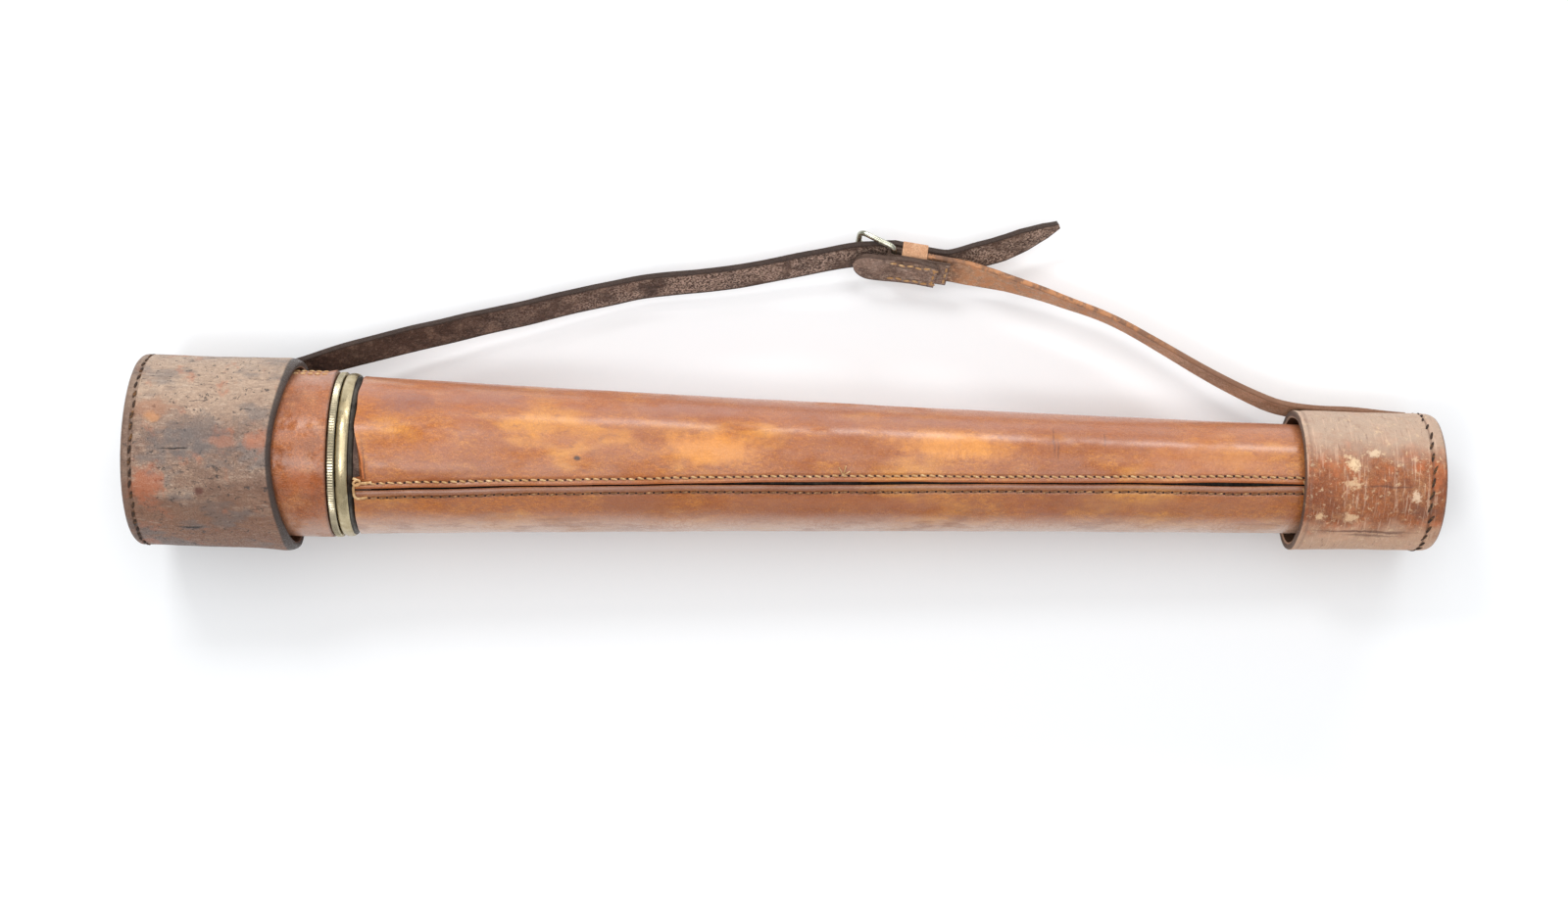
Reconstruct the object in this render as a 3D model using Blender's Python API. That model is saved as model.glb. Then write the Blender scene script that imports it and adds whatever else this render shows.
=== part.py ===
"""A leather-covered hand telescope in its two leather end caps, joined by a buckled leather sling.

The tube's axis is +X, from the objective cap to the eyepiece cap. The sling stands off on the +Y
side, +Z is up, and the origin is the centre of the objective cap's flat end. Lengths are in metres.
"""
import math

import bmesh
import bpy
from mathutils import Matrix, Vector

GAP = 0.0003                    # clearance between pieces that touch
SIDES = 32                      # facets round a turned piece
CAP_SIDES = 24                  # facets round a leather cap

# leather caps
CAP_LENGTH_BIG = 0.0635         # objective cap, along the axis
CAP_RADIUS_BIG = 0.0395
CAP_WALL_BIG = 0.0042
CAP_RADIUS_SMALL = 0.0288
CAP_WALL_SMALL = 0.0034
CAP_MOUTH_SMALL = 0.4795        # where the eyepiece cap's mouth lies
CAP_END_THICK = 0.0042
CAP_CORNER = 0.0016
LENGTH = 0.537                  # closed telescope over both caps

# sunshade and objective
SHADE_FRONT = 0.010
SHADE_BACK = 0.0812
SHADE_RADIUS = 0.0344           # over its leather
SHADE_LEATHER = 0.0016
SHADE_TUBE_RADIUS = 0.0325
SHADE_TUBE_WALL = 0.0012
OBJECTIVE_TUBE_RADIUS = 0.0309
OBJECTIVE_TUBE_WALL = 0.0012
OBJECTIVE_FRONT = 0.0200
LENS_RADIUS = 0.0266
COLLAR_RADIUS = 0.0343
COLLAR_BACK = 0.0845

# body
FERRULE_BACK = 0.0918
FERRULE_RADIUS = 0.0339
BEAD_HALF = 0.0026              # half the width of the ferrule's half-round bead
BEAD_FOOT = 0.0320              # radius it rises from
BODY_FRONT = 0.0921
BODY_BACK = 0.4878
BODY_RADIUS_FRONT = 0.0328      # over its leather
BODY_RADIUS_BACK = 0.0228
BODY_WAIST = 0.0010             # how far the taper hollows at mid length
BODY_LEATHER = 0.0018
BODY_TUBE_WALL = 0.0012
REAR_FERRULE_RADIUS = 0.0249
REAR_FERRULE_BACK = 0.4985
BAFFLE_X = 0.230

# draw tube, erector and eyepiece
GUIDE_FRONT = 0.4550
GUIDE_RADIUS = 0.0192
DRAW_FRONT = 0.2453
DRAW_BACK = 0.5050
DRAW_RADIUS = 0.0175
DRAW_WALL = 0.0009
ERECTOR_FRONT = 0.2500
ERECTOR_BACK = 0.3300
ERECTOR_RADIUS = 0.0163
EYEPIECE_FRONT = 0.4700
EYEPIECE_RADIUS = 0.0162
EYE_LENS_RADIUS = 0.0096
HEAD_RADIUS = 0.0215
HEAD_BACK = 0.5200
EYE_HOLE_RADIUS = 0.0050
SHUTTER_PIVOT_Z = 0.0105
SHUTTER_RADIUS = 0.0062

# sling
STRAP_WIDTH = 0.0150
STRAP_THICK = 0.0024
SLING_ANGLE_BIG = math.radians(39)      # how far below the side each strap is sewn to its cap
SLING_ANGLE_MOUTH = math.radians(31)    # and where the long one leaves the objective cap
SLING_ANGLE_SMALL = math.radians(15)
FOLD_RADIUS = 0.0022            # centre of the short strap's fold round the buckle bar
FOLD_THICK = 0.0014
BUCKLE_BAR = Vector((0.3110, 0.0882, -0.0180))
BUCKLE_SLOPE = math.radians(-8)
BUCKLE_LEAN = math.radians(32)
BUCKLE_LENGTH = 0.0164          # bar to bar
BUCKLE_HALF_WIDTH = 0.0097      # to the middle of a side
BUCKLE_WIRE = 0.0012
FRAME_LIFT = math.radians(20)   # how far the frame stands off the strap
PRONG_WIRE = 0.00075
PRONG_LENGTH = 0.0178
PRONG_LIFT = BUCKLE_WIRE + PRONG_WIRE + 0.0002
KEEPER_SPAN = (0.0034, 0.0142)  # along the strap from the buckle's bar
SAFE_SPAN = (-0.0162, 0.0195)

LEATHERS = {
    "saddle_leather": ((0.30, 0.20, 0.13), 0.72),
    "tan_leather": ((0.55, 0.25, 0.12), 0.62),
    "sling_leather": ((0.14, 0.09, 0.06), 0.75),
    "pale_leather": ((0.62, 0.38, 0.22), 0.70),
}
METALS = {
    "aged_brass": ((0.42, 0.33, 0.16), 0.42),
    "buckle_metal": ((0.45, 0.43, 0.34), 0.40),
    "black_brass": ((0.03, 0.03, 0.03), 0.60),
}


def clear_scene():
    for thing in list(bpy.data.objects):
        bpy.data.objects.remove(thing, do_unlink=True)


def material(name):
    found = bpy.data.materials.get(name)
    if found:
        return found
    made = bpy.data.materials.new(name)
    made.use_nodes = True
    shader = made.node_tree.nodes["Principled BSDF"]
    if name == "lens_glass":
        colour, roughness, metallic = (0.90, 0.95, 0.95), 0.03, 0.0
        shader.inputs["Transmission Weight"].default_value = 1.0
    elif name in METALS:
        (colour, roughness), metallic = METALS[name], 1.0
    else:
        (colour, roughness), metallic = LEATHERS[name], 0.0
    shader.inputs["Base Color"].default_value = (*colour, 1.0)
    shader.inputs["Roughness"].default_value = roughness
    shader.inputs["Metallic"].default_value = metallic
    return made


def finish(name, bm, slot):
    """Close the bmesh into a named object with its faces pointing out and its edges sharp."""
    bmesh.ops.remove_doubles(bm, verts=bm.verts, dist=1e-7)
    bmesh.ops.recalc_face_normals(bm, faces=bm.faces)
    mesh = bpy.data.meshes.new(name)
    bm.to_mesh(mesh)
    bm.free()
    mesh.shade_smooth()
    mesh.set_sharp_from_angle(angle=math.radians(32))
    mesh.materials.append(material(slot))
    thing = bpy.data.objects.new(name, mesh)
    bpy.context.collection.objects.link(thing)
    return thing


def turned(name, profile, slot, sides=SIDES, closed=True):
    """Spin a section of (x, radius) points round the X axis, so that a flat side faces down."""
    bm = bmesh.new()
    half_side = math.pi / sides
    verts = [bm.verts.new((x, -r * math.sin(half_side), r * math.cos(half_side)))
             for x, r in profile]
    edges = [bm.edges.new(pair) for pair in zip(verts, verts[1:])]
    if closed:
        edges.append(bm.edges.new((verts[-1], verts[0])))
    bmesh.ops.spin(bm, geom=verts + edges, cent=(0, 0, 0), axis=(1, 0, 0), dvec=(0, 0, 0),
                   angle=2 * math.pi, steps=sides, use_merge=True, use_duplicate=False)
    return finish(name, bm, slot)


def ring(name, x0, x1, inner, outer, slot, sides=SIDES):
    return turned(name, [(x0, inner), (x0, outer), (x1, outer), (x1, inner)], slot, sides)


def bowed(x_rim, x_vertex, radius, steps=5):
    """Points of a shallow spherical face, from its rim in to its vertex."""
    points = []
    for i in range(steps + 1):
        r = radius * (1 - i / steps)
        points.append((x_vertex + (x_rim - x_vertex) * (r / radius) ** 2, r))
    return points


def lens(name, radius, front, back):
    """A round glass with each face given as (x at the rim, x at the vertex)."""
    profile = list(reversed(bowed(*front, radius))) + bowed(*back, radius)
    return turned(name, profile, "lens_glass", closed=False)


def cut(thing, name, cutter):
    """Take a wire-drawn cutter out of a piece."""
    cutter.hide_render = True
    cutter.display_type = "WIRE"
    modifier = thing.modifiers.new(name, "BOOLEAN")
    modifier.operation = "DIFFERENCE"
    modifier.solver = "EXACT"
    modifier.object = cutter


def body_radius(x):
    """Outside radius of the leather-covered body: a taper that hollows a little at mid length."""
    along = (x - BODY_FRONT) / (BODY_BACK - BODY_FRONT)
    straight = BODY_RADIUS_FRONT + (BODY_RADIUS_BACK - BODY_RADIUS_FRONT) * along
    return straight - 4 * BODY_WAIST * along * (1 - along)


def tapered_shell(name, x0, x1, inset, wall, slot, steps=9):
    """A shell that follows the body's taper, its outside `inset` below the leather's."""
    xs = [x0 + (x1 - x0) * i / steps for i in range(steps + 1)]
    outer = [(x, body_radius(x) - inset) for x in xs]
    inner = [(x, r - wall) for x, r in reversed(outer)]
    return turned(name, outer + inner, slot)


# ---- objective end ----------------------------------------------------------------------------

def make_objective():
    """The lens cell, its two glasses and retaining ring, at the front of its brass tube."""
    bore = OBJECTIVE_TUBE_RADIUS - OBJECTIVE_TUBE_WALL
    ring("objective_tube", OBJECTIVE_FRONT + 0.0042, FERRULE_BACK - 0.0027, bore,
         OBJECTIVE_TUBE_RADIUS, "black_brass")
    x = OBJECTIVE_FRONT
    seat = LENS_RADIUS + GAP
    turned("objective_cell", [
        (x, seat), (x, OBJECTIVE_TUBE_RADIUS), (x + 0.0038, OBJECTIVE_TUBE_RADIUS),
        (x + 0.0038, bore - GAP), (x + 0.0140, bore - GAP), (x + 0.0140, LENS_RADIUS - 0.0020),
        (x + 0.0122, LENS_RADIUS - 0.0020), (x + 0.0122, seat)], "aged_brass")
    ring("lens_retaining_ring", x + 0.0006, x + 0.0032, LENS_RADIUS - 0.0016, LENS_RADIUS,
         "aged_brass")
    lens("crown_lens", LENS_RADIUS, (x + 0.0038, x + 0.0018), (x + 0.0064, x + 0.0084))
    lens("flint_lens", LENS_RADIUS, (x + 0.0068, x + 0.0088), (x + 0.0118, x + 0.0118))


def make_sunshade():
    """A brass tube in a leather jacket, with a beaded brass rim, that slides over the objective."""
    bore = SHADE_TUBE_RADIUS - SHADE_TUBE_WALL
    front = SHADE_FRONT + 0.0040
    ring("sunshade_tube", front, SHADE_BACK, bore, SHADE_TUBE_RADIUS, "aged_brass")
    ring("sunshade_cover", front, SHADE_BACK, SHADE_RADIUS - SHADE_LEATHER, SHADE_RADIUS,
         "tan_leather")
    x = SHADE_FRONT
    turned("sunshade_rim", [
        (x, 0.0300), (x, 0.0332), (x + 0.0010, 0.0343), (x + 0.0024, 0.0343),
        (x + 0.0037, 0.0332), (x + 0.0037, 0.0300)], "aged_brass")


def make_front_ferrule():
    """The milled collar that screws the objective home, and the half-round ring behind it."""
    ring("knurled_collar", SHADE_BACK + 0.0005, COLLAR_BACK, OBJECTIVE_TUBE_RADIUS + GAP,
         COLLAR_RADIUS, "aged_brass")
    start = COLLAR_BACK + GAP
    middle = start + BEAD_HALF
    rise = FERRULE_RADIUS - BEAD_FOOT
    bead = [(middle - BEAD_HALF * math.cos(math.pi * i / 6),
             BEAD_FOOT + rise * math.sin(math.pi * i / 6)) for i in range(7)]
    turned("front_ferrule", [(start, OBJECTIVE_TUBE_RADIUS + GAP)] + bead + [
        (FERRULE_BACK, 0.0318), (FERRULE_BACK, 0.0290), (FERRULE_BACK + 0.008, 0.0288),
        (FERRULE_BACK + 0.008, 0.0275), (FERRULE_BACK - 0.0024, 0.0275),
        (FERRULE_BACK - 0.0024, OBJECTIVE_TUBE_RADIUS + GAP)], "aged_brass")


# ---- body and draw ----------------------------------------------------------------------------

def make_body():
    """The tapered brass tube, its stitched leather sleeve, a light stop, and the rear fittings."""
    tapered_shell("body_sleeve", BODY_FRONT, BODY_BACK, 0.0, BODY_LEATHER, "tan_leather")
    inset = BODY_LEATHER + GAP
    tapered_shell("body_tube", BODY_FRONT, BODY_BACK, inset, BODY_TUBE_WALL, "black_brass")
    reach = body_radius(BAFFLE_X + 0.0015) - inset - BODY_TUBE_WALL - GAP
    turned("body_baffle", [
        (BAFFLE_X - 0.006, reach - 0.001), (BAFFLE_X - 0.006, reach), (BAFFLE_X + 0.0015, reach),
        (BAFFLE_X + 0.0015, 0.0155), (BAFFLE_X, 0.0155), (BAFFLE_X, reach - 0.001)], "black_brass")
    lip = 0.0005
    shoulder = BODY_BACK + 0.0062
    turned("rear_ferrule", [
        (BODY_BACK + GAP, GUIDE_RADIUS + GAP), (BODY_BACK + GAP, REAR_FERRULE_RADIUS - lip),
        (BODY_BACK + GAP + lip, REAR_FERRULE_RADIUS),
        (REAR_FERRULE_BACK - lip, REAR_FERRULE_RADIUS),
        (REAR_FERRULE_BACK, REAR_FERRULE_RADIUS - lip), (REAR_FERRULE_BACK, DRAW_RADIUS + GAP),
        (shoulder, DRAW_RADIUS + GAP), (shoulder, GUIDE_RADIUS + GAP)], "aged_brass")
    ring("draw_guide", GUIDE_FRONT, shoulder - GAP, DRAW_RADIUS + GAP, GUIDE_RADIUS, "aged_brass")


def make_draw():
    """The single draw tube, with its stop ring and the erector's lenses at its inner end."""
    bore = DRAW_RADIUS - DRAW_WALL
    ring("draw_tube", DRAW_FRONT, DRAW_BACK, bore, DRAW_RADIUS, "aged_brass")
    turned("draw_stop_ring", [
        (DRAW_FRONT - 0.0060, bore - 0.0020), (DRAW_FRONT - 0.0060, GUIDE_RADIUS - 0.0004),
        (DRAW_FRONT - GAP, GUIDE_RADIUS - 0.0004), (DRAW_FRONT - GAP, bore - 0.0020)],
        "aged_brass")
    inside = ERECTOR_RADIUS - 0.0010
    ring("erector_tube", ERECTOR_FRONT, ERECTOR_BACK, inside, ERECTOR_RADIUS, "black_brass")
    glass = inside - GAP
    near = ERECTOR_FRONT + 0.0060
    far = ERECTOR_BACK - 0.0110
    lens("erector_lens_front", glass, (near, near), (near + 0.0022, near + 0.0046))
    lens("erector_lens_rear", glass, (far + 0.0024, far), (far + 0.0046, far + 0.0046))
    middle = (ERECTOR_FRONT + ERECTOR_BACK) / 2
    ring("erector_stop", middle, middle + 0.0012, 0.0030, glass, "black_brass")


def make_eyepiece():
    """The eyepiece tube and its two lenses, the milled head, and the dust shutter on its screw."""
    seat = DRAW_BACK - 0.0048
    wall = EYEPIECE_RADIUS - 0.0014
    end = DRAW_BACK + 0.0002
    turned("eyepiece_tube", [
        (EYEPIECE_FRONT, wall), (EYEPIECE_FRONT, EYEPIECE_RADIUS), (end, EYEPIECE_RADIUS),
        (end, EYE_LENS_RADIUS + GAP), (seat, EYE_LENS_RADIUS + GAP), (seat, wall)], "aged_brass")
    x = EYEPIECE_FRONT + 0.0040
    lens("field_lens", wall - GAP, (x + 0.0024, x), (x + 0.0044, x + 0.0044))
    lens("eye_lens", EYE_LENS_RADIUS, (seat + 0.0018, seat + 0.0003),
         (seat + 0.0042, seat + 0.0042))
    start = DRAW_BACK + 0.0004 + GAP
    head = turned("eyepiece_head", [
        (start, EYE_HOLE_RADIUS + 0.0030), (start, HEAD_RADIUS - 0.0008),
        (start + 0.0008, HEAD_RADIUS), (start + 0.0062, HEAD_RADIUS),
        (start + 0.0070, HEAD_RADIUS - 0.0010), (start + 0.0100, HEAD_RADIUS - 0.0034),
        (HEAD_BACK, HEAD_RADIUS - 0.0036), (HEAD_BACK, EYE_HOLE_RADIUS)], "aged_brass")
    plate = HEAD_BACK + 0.0004
    shutter = make_shutter(plate, 0.0010)
    cut(head, "screw_hole", peg("head_screw_hole", HEAD_BACK - 0.0032, HEAD_BACK + 0.002, 0.0013))
    cut(shutter, "pivot_hole", peg("shutter_pivot_hole", plate - 0.001, plate + 0.002, 0.0013))
    screw = turned("shutter_screw", [
        (HEAD_BACK - 0.0028, 0.0), (HEAD_BACK - 0.0028, 0.0010), (plate + 0.0013, 0.0010),
        (plate + 0.0013, 0.0026), (plate + 0.0020, 0.0026), (plate + 0.0027, 0.0016),
        (plate + 0.0028, 0.0)], "aged_brass", sides=16, closed=False)
    screw.location.z = SHUTTER_PIVOT_Z


def peg(name, x0, x1, radius):
    """A round cutter along X on the shutter's pivot."""
    cutter = turned(name, [(x0, 0.0), (x0, radius), (x1, radius), (x1, 0.0)], "aged_brass",
                    sides=16, closed=False)
    cutter.location.z = SHUTTER_PIVOT_Z
    return cutter


def make_shutter(x, thick):
    """A flat plate, round over the eye hole and round at its pivot, with its origin there."""
    pivot_round = 0.0033
    spread = math.acos((SHUTTER_RADIUS - pivot_round) / SHUTTER_PIVOT_Z)
    outline = []
    for i in range(7):
        a = -spread + 2 * spread * i / 6
        outline.append((pivot_round * math.sin(a), pivot_round * math.cos(a)))
    for i in range(13):
        a = spread + (2 * math.pi - 2 * spread) * i / 12
        outline.append((SHUTTER_RADIUS * math.sin(a), SHUTTER_RADIUS * math.cos(a)
                        - SHUTTER_PIVOT_Z))
    bm = bmesh.new()
    face = bm.faces.new([bm.verts.new((x, y, z)) for y, z in outline])
    grown = bmesh.ops.extrude_face_region(bm, geom=[face])
    moved = [v for v in grown["geom"] if isinstance(v, bmesh.types.BMVert)]
    bmesh.ops.translate(bm, verts=moved, vec=(thick, 0, 0))
    shutter = finish("eyepiece_shutter", bm, "aged_brass")
    shutter.location.z = SHUTTER_PIVOT_Z
    return shutter


# ---- caps -------------------------------------------------------------------------------------

def make_cap(prefix, x_end, x_mouth, radius, wall):
    """A stiff leather cap: a stitched wall, and a disc let into its closed end."""
    into = math.copysign(1.0, x_mouth - x_end)
    turned(prefix + "_wall", [
        (x_end, radius - wall), (x_end, radius - CAP_CORNER), (x_end + into * CAP_CORNER, radius),
        (x_mouth - into * 0.0008, radius), (x_mouth, radius - 0.0008), (x_mouth, radius - wall)],
        "saddle_leather", sides=CAP_SIDES)
    disc = radius - wall - GAP
    turned(prefix + "_end", [(x_end, 0.0), (x_end, disc), (x_end + into * CAP_END_THICK, disc),
                             (x_end + into * CAP_END_THICK, 0.0)],
           "saddle_leather", sides=CAP_SIDES, closed=False)


# ---- sling ------------------------------------------------------------------------------------

BUCKLE_PLACE = (Matrix.Translation(BUCKLE_BAR) @ Matrix.Rotation(BUCKLE_SLOPE, 4, "Z")
                @ Matrix.Rotation(-BUCKLE_LEAN, 4, "X"))


def leaning(angle):
    """The way across a strap that leans out at its upper edge by the angle."""
    return Vector((0.0, math.sin(angle), math.cos(angle)))


def at_buckle(u, v, thick=STRAP_THICK):
    """A station of a strap given along (u) and outward (v) from the buckle's bar."""
    across = BUCKLE_PLACE.to_3x3() @ Vector((0.0, 0.0, 1.0))
    return (BUCKLE_PLACE @ Vector((u, v, 0.0)), across, STRAP_WIDTH, thick)


def station(x, y, z, lean, width=STRAP_WIDTH):
    return (Vector((x, y, z)), leaning(math.radians(lean)), width, STRAP_THICK)


def sewn_to_cap(x, radius, angle):
    """A station where a strap lies flat on the outside of its cap."""
    reach = radius + GAP + STRAP_THICK / 2
    return (Vector((x, reach * math.cos(angle), -reach * math.sin(angle))), leaning(angle),
            STRAP_WIDTH, STRAP_THICK)


def long_strap_route():
    """From the objective cap, under the buckle's end bar, over its bar, to the pointed tongue."""
    return [
        sewn_to_cap(0.031, CAP_RADIUS_BIG, SLING_ANGLE_BIG),
        sewn_to_cap(0.046, CAP_RADIUS_BIG, SLING_ANGLE_BIG),
        sewn_to_cap(0.060, CAP_RADIUS_BIG, SLING_ANGLE_MOUTH),
        station(0.0815, 0.0420, -0.0200, 35),
        station(0.1100, 0.0503, -0.0220, 36),
        station(0.1500, 0.0608, -0.0235, 33),
        station(0.2020, 0.0740, -0.0240, 30),
        station(0.2450, 0.0800, -0.0225, 29),
        station(0.2800, 0.0875, -0.0195, 29),
        at_buckle(-0.0154, 0.0003),
        at_buckle(-0.0070, 0.0026),
        at_buckle(0.0000, 0.0045),
        at_buckle(0.0060, 0.0040),
        at_buckle(0.0130, 0.0038),
        at_buckle(0.0240, 0.0046),
        station(0.3490, 0.0922, -0.0185, 36),
        station(0.3580, 0.0948, -0.0178, 37),
        station(0.3670, 0.0986, -0.0168, 35, width=0.0135),
        station(0.3760, 0.1028, -0.0158, 33, width=0.0090),
        station(0.3815, 0.1056, -0.0152, 32, width=0.0030),
    ]


def short_strap_route():
    """From the eyepiece cap to the buckle's bar, round it, and back under itself."""
    fold = []
    for degrees in (90, 120, 150, 180, 210, 240, 270):
        a = math.radians(degrees)
        fold.append(at_buckle(FOLD_RADIUS * math.cos(a), FOLD_RADIUS * math.sin(a), FOLD_THICK))
    return [
        sewn_to_cap(0.5305, CAP_RADIUS_SMALL, SLING_ANGLE_SMALL),
        sewn_to_cap(0.5050, CAP_RADIUS_SMALL, SLING_ANGLE_SMALL),
        sewn_to_cap(0.4830, CAP_RADIUS_SMALL, SLING_ANGLE_SMALL),
        station(0.4700, 0.0322, -0.0090, 14),
        station(0.4450, 0.0442, -0.0110, 9),
        station(0.4200, 0.0582, -0.0130, 5),
        station(0.4030, 0.0665, -0.0145, 5),
        station(0.3820, 0.0740, -0.0158, 9),
        station(0.3600, 0.0806, -0.0168, 18),
        at_buckle(0.0330, 0.0010),
        at_buckle(0.0160, 0.0011),
        at_buckle(0.0070, 0.0012),
    ] + fold + [
        at_buckle(0.0060, -0.0022, 0.0010),
        at_buckle(0.0150, -0.0022, 0.0010),
        at_buckle(0.0245, -0.0022, 0.0010),
    ]


def smooth_through(stations, spacing):
    """Stations every `spacing` or so on a smooth curve through the given ones."""
    made = []
    last = len(stations) - 1
    for i in range(last):
        around = [stations[max(i - 1, 0)], stations[i], stations[i + 1],
                  stations[min(i + 2, last)]]
        span = (around[2][0] - around[1][0]).length
        gaps = [max((around[k + 1][0] - around[k][0]).length, 1e-6) for k in range(3)]
        slope_in = (around[2][0] - around[0][0]) * (span / (gaps[0] + gaps[1] if i else span))
        slope_out = (around[3][0] - around[1][0]) * (span / (gaps[1] + gaps[2]
                                                             if i < last - 1 else span))
        count = max(1, round(span / spacing))
        for k in range(count):
            t = k / count
            place = ((2 * t ** 3 - 3 * t ** 2 + 1) * around[1][0]
                     + (t ** 3 - 2 * t ** 2 + t) * slope_in
                     + (3 * t ** 2 - 2 * t ** 3) * around[2][0]
                     + (t ** 3 - t ** 2) * slope_out)
            rest = [a + (b - a) * t for a, b in zip(around[1][1:], around[2][1:])]
            made.append((place, *rest))
    made.append(stations[last])
    return made


def strap(name, route, slot, spacing=0.007):
    """A flat strap: its section is lofted from station to station along the route."""
    stations = smooth_through(route, spacing)
    rings = []
    for i, (place, across, width, thick) in enumerate(stations):
        ahead = stations[min(i + 1, len(stations) - 1)][0] - stations[max(i - 1, 0)][0]
        ahead.normalize()
        across = (across - ahead * across.dot(ahead)).normalized()
        out = ahead.cross(across)
        rings.append([place + across * (sw * width / 2) + out * (st * thick / 2)
                      for sw, st in ((-1, -1), (1, -1), (1, 1), (-1, 1))])
    bm = bmesh.new()
    loops = loft(bm, rings)
    for loop in (loops[0], loops[-1]):
        bmesh.ops.contextual_create(bm, geom=loop)
    return finish(name, bm, slot)


def loft(bm, rings, closed=False):
    """Bridge rings of corners one after another, and the last back to the first if closed."""
    loops = []
    for corners in rings:
        verts = [bm.verts.new(co) for co in corners]
        loops.append([bm.edges.new((a, b)) for a, b in zip(verts, verts[1:] + verts[:1])])
    following = loops[1:] + loops[:1] if closed else loops[1:]
    for first, second in zip(loops, following):
        bmesh.ops.bridge_loops(bm, edges=first + second)
    return loops


def wire(name, points, radius, slot, cyclic, resolution=2):
    """A round wire through the points, as a bevelled curve with filled ends."""
    curve = bpy.data.curves.new(name, "CURVE")
    curve.dimensions = "3D"
    curve.bevel_depth = radius
    curve.bevel_resolution = resolution
    curve.use_fill_caps = True
    spline = curve.splines.new("POLY")
    spline.points.add(len(points) - 1)
    for point, co in zip(spline.points, points):
        point.co = (*co, 1.0)
    spline.use_cyclic_u = cyclic
    curve.materials.append(material(slot))
    thing = bpy.data.objects.new(name, curve)
    bpy.context.collection.objects.link(thing)
    return thing


def make_buckle(hinge):
    """A wire frame and its prong, both turning on the bar that the short strap folds round."""
    corner = 0.0025
    reach = BUCKLE_LENGTH - corner
    half = BUCKLE_HALF_WIDTH - corner
    loop = []
    for u, w, first in ((-reach, half, 90), (-reach, -half, 180),
                        (-corner, -half, 270), (-corner, half, 0)):
        for degrees in (0, 30, 60, 90):
            a = math.radians(first + degrees)
            loop.append(Vector((u + corner * math.cos(a), 0.0, w + corner * math.sin(a))))
    frame = wire("buckle_frame", loop, BUCKLE_WIRE, "buckle_metal", cyclic=True)
    frame.parent = hinge
    frame.rotation_euler.z = -FRAME_LIFT

    hug = BUCKLE_WIRE + PRONG_WIRE + 0.0001
    points = [Vector((-hug * math.cos(a), hug * math.sin(a), 0.0))
              for a in (math.radians(d) for d in range(360, 89, -30))]
    points.append(Vector((-PRONG_LENGTH / 2, PRONG_LIFT + 0.0001, 0.0)))
    points.append(Vector((-PRONG_LENGTH, PRONG_LIFT + 0.0002, 0.0)))
    prong = wire("buckle_prong", points, PRONG_WIRE, "buckle_metal", cyclic=False)
    prong.parent = hinge
    prong.rotation_euler.z = -FRAME_LIFT


def make_keeper(hinge):
    """The fixed keeper: a loop of pale leather round the short strap and the tongue."""
    outer_v = (-0.0014, 0.0066)
    wall = 0.0010
    half = STRAP_WIDTH / 2 + 0.0004
    bm = bmesh.new()
    u0, u1 = KEEPER_SPAN
    corners = {}
    for k, grow in (("outer", wall), ("inner", 0.0)):
        low = outer_v[0] + wall - grow
        high = outer_v[1] - wall + grow
        corners[k] = [(low, -half - grow), (high, -half - grow), (high, half + grow),
                      (low, half + grow)]
    loft(bm, [[(u, v, w) for v, w in corners[k]]
              for u, k in ((u0, "inner"), (u0, "outer"), (u1, "outer"), (u1, "inner"))], closed=True)
    keeper = finish("keeper_loop", bm, "pale_leather")
    keeper.parent = hinge


def make_safe(hinge):
    """The round-ended safe: a leather tab sewn under the buckle to keep it off what it lies on."""
    half = STRAP_WIDTH / 2 + 0.0004
    inner, outer = -0.0048, -0.0032
    u0, u1 = SAFE_SPAN
    outline = [(u0 + half - half * math.sin(a), half * math.cos(a))
               for a in (math.pi * i / 10 for i in range(11))]
    outline += [(u1, -half), (u1, half)]
    bm = bmesh.new()
    face = bm.faces.new([bm.verts.new((u, inner, w)) for u, w in outline])
    grown = bmesh.ops.extrude_face_region(bm, geom=[face])
    moved = [v for v in grown["geom"] if isinstance(v, bmesh.types.BMVert)]
    bmesh.ops.translate(bm, verts=moved, vec=(0, outer - inner, 0))
    safe = finish("buckle_safe", bm, "sling_leather")
    safe.parent = hinge


def box_cutter(name, low, high):
    bm = bmesh.new()
    bmesh.ops.create_cube(bm, size=1.0)
    size = [b - a for a, b in zip(low, high)]
    middle = [(a + b) / 2 for a, b in zip(low, high)]
    bmesh.ops.scale(bm, verts=bm.verts, vec=size)
    bmesh.ops.translate(bm, verts=bm.verts, vec=middle)
    return finish(name, bm, "sling_leather")


def make_sling():
    """Two straps, one from each cap, that meet at the buckle."""
    hinge = bpy.data.objects.new("buckle_place", None)
    hinge.matrix_world = BUCKLE_PLACE
    bpy.context.collection.objects.link(hinge)

    long_strap = strap("long_strap", long_strap_route(), "sling_leather")
    slot = box_cutter("prong_hole", (-0.0095, 0.0009, -0.0015), (-0.0005, 0.0031, 0.0015))
    slot.parent = hinge
    slot.rotation_euler.z = -FRAME_LIFT
    cut(long_strap, "prong_hole", slot)
    for i, u in enumerate((0.0100, 0.0200)):
        spare = box_cutter("spare_hole_%d" % i, (u, 0.0010, -0.0012), (u + 0.0024, 0.0075, 0.0012))
        spare.parent = hinge
        cut(long_strap, "spare_hole_%d" % i, spare)

    short_strap = strap("short_strap", short_strap_route(), "tan_leather", spacing=0.006)
    notch = box_cutter("prong_notch", (-0.0045, -0.0045, -0.0016), (0.0050, 0.0045, 0.0016))
    notch.parent = hinge
    cut(short_strap, "prong_notch", notch)

    make_buckle(hinge)
    make_keeper(hinge)
    make_safe(hinge)


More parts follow.
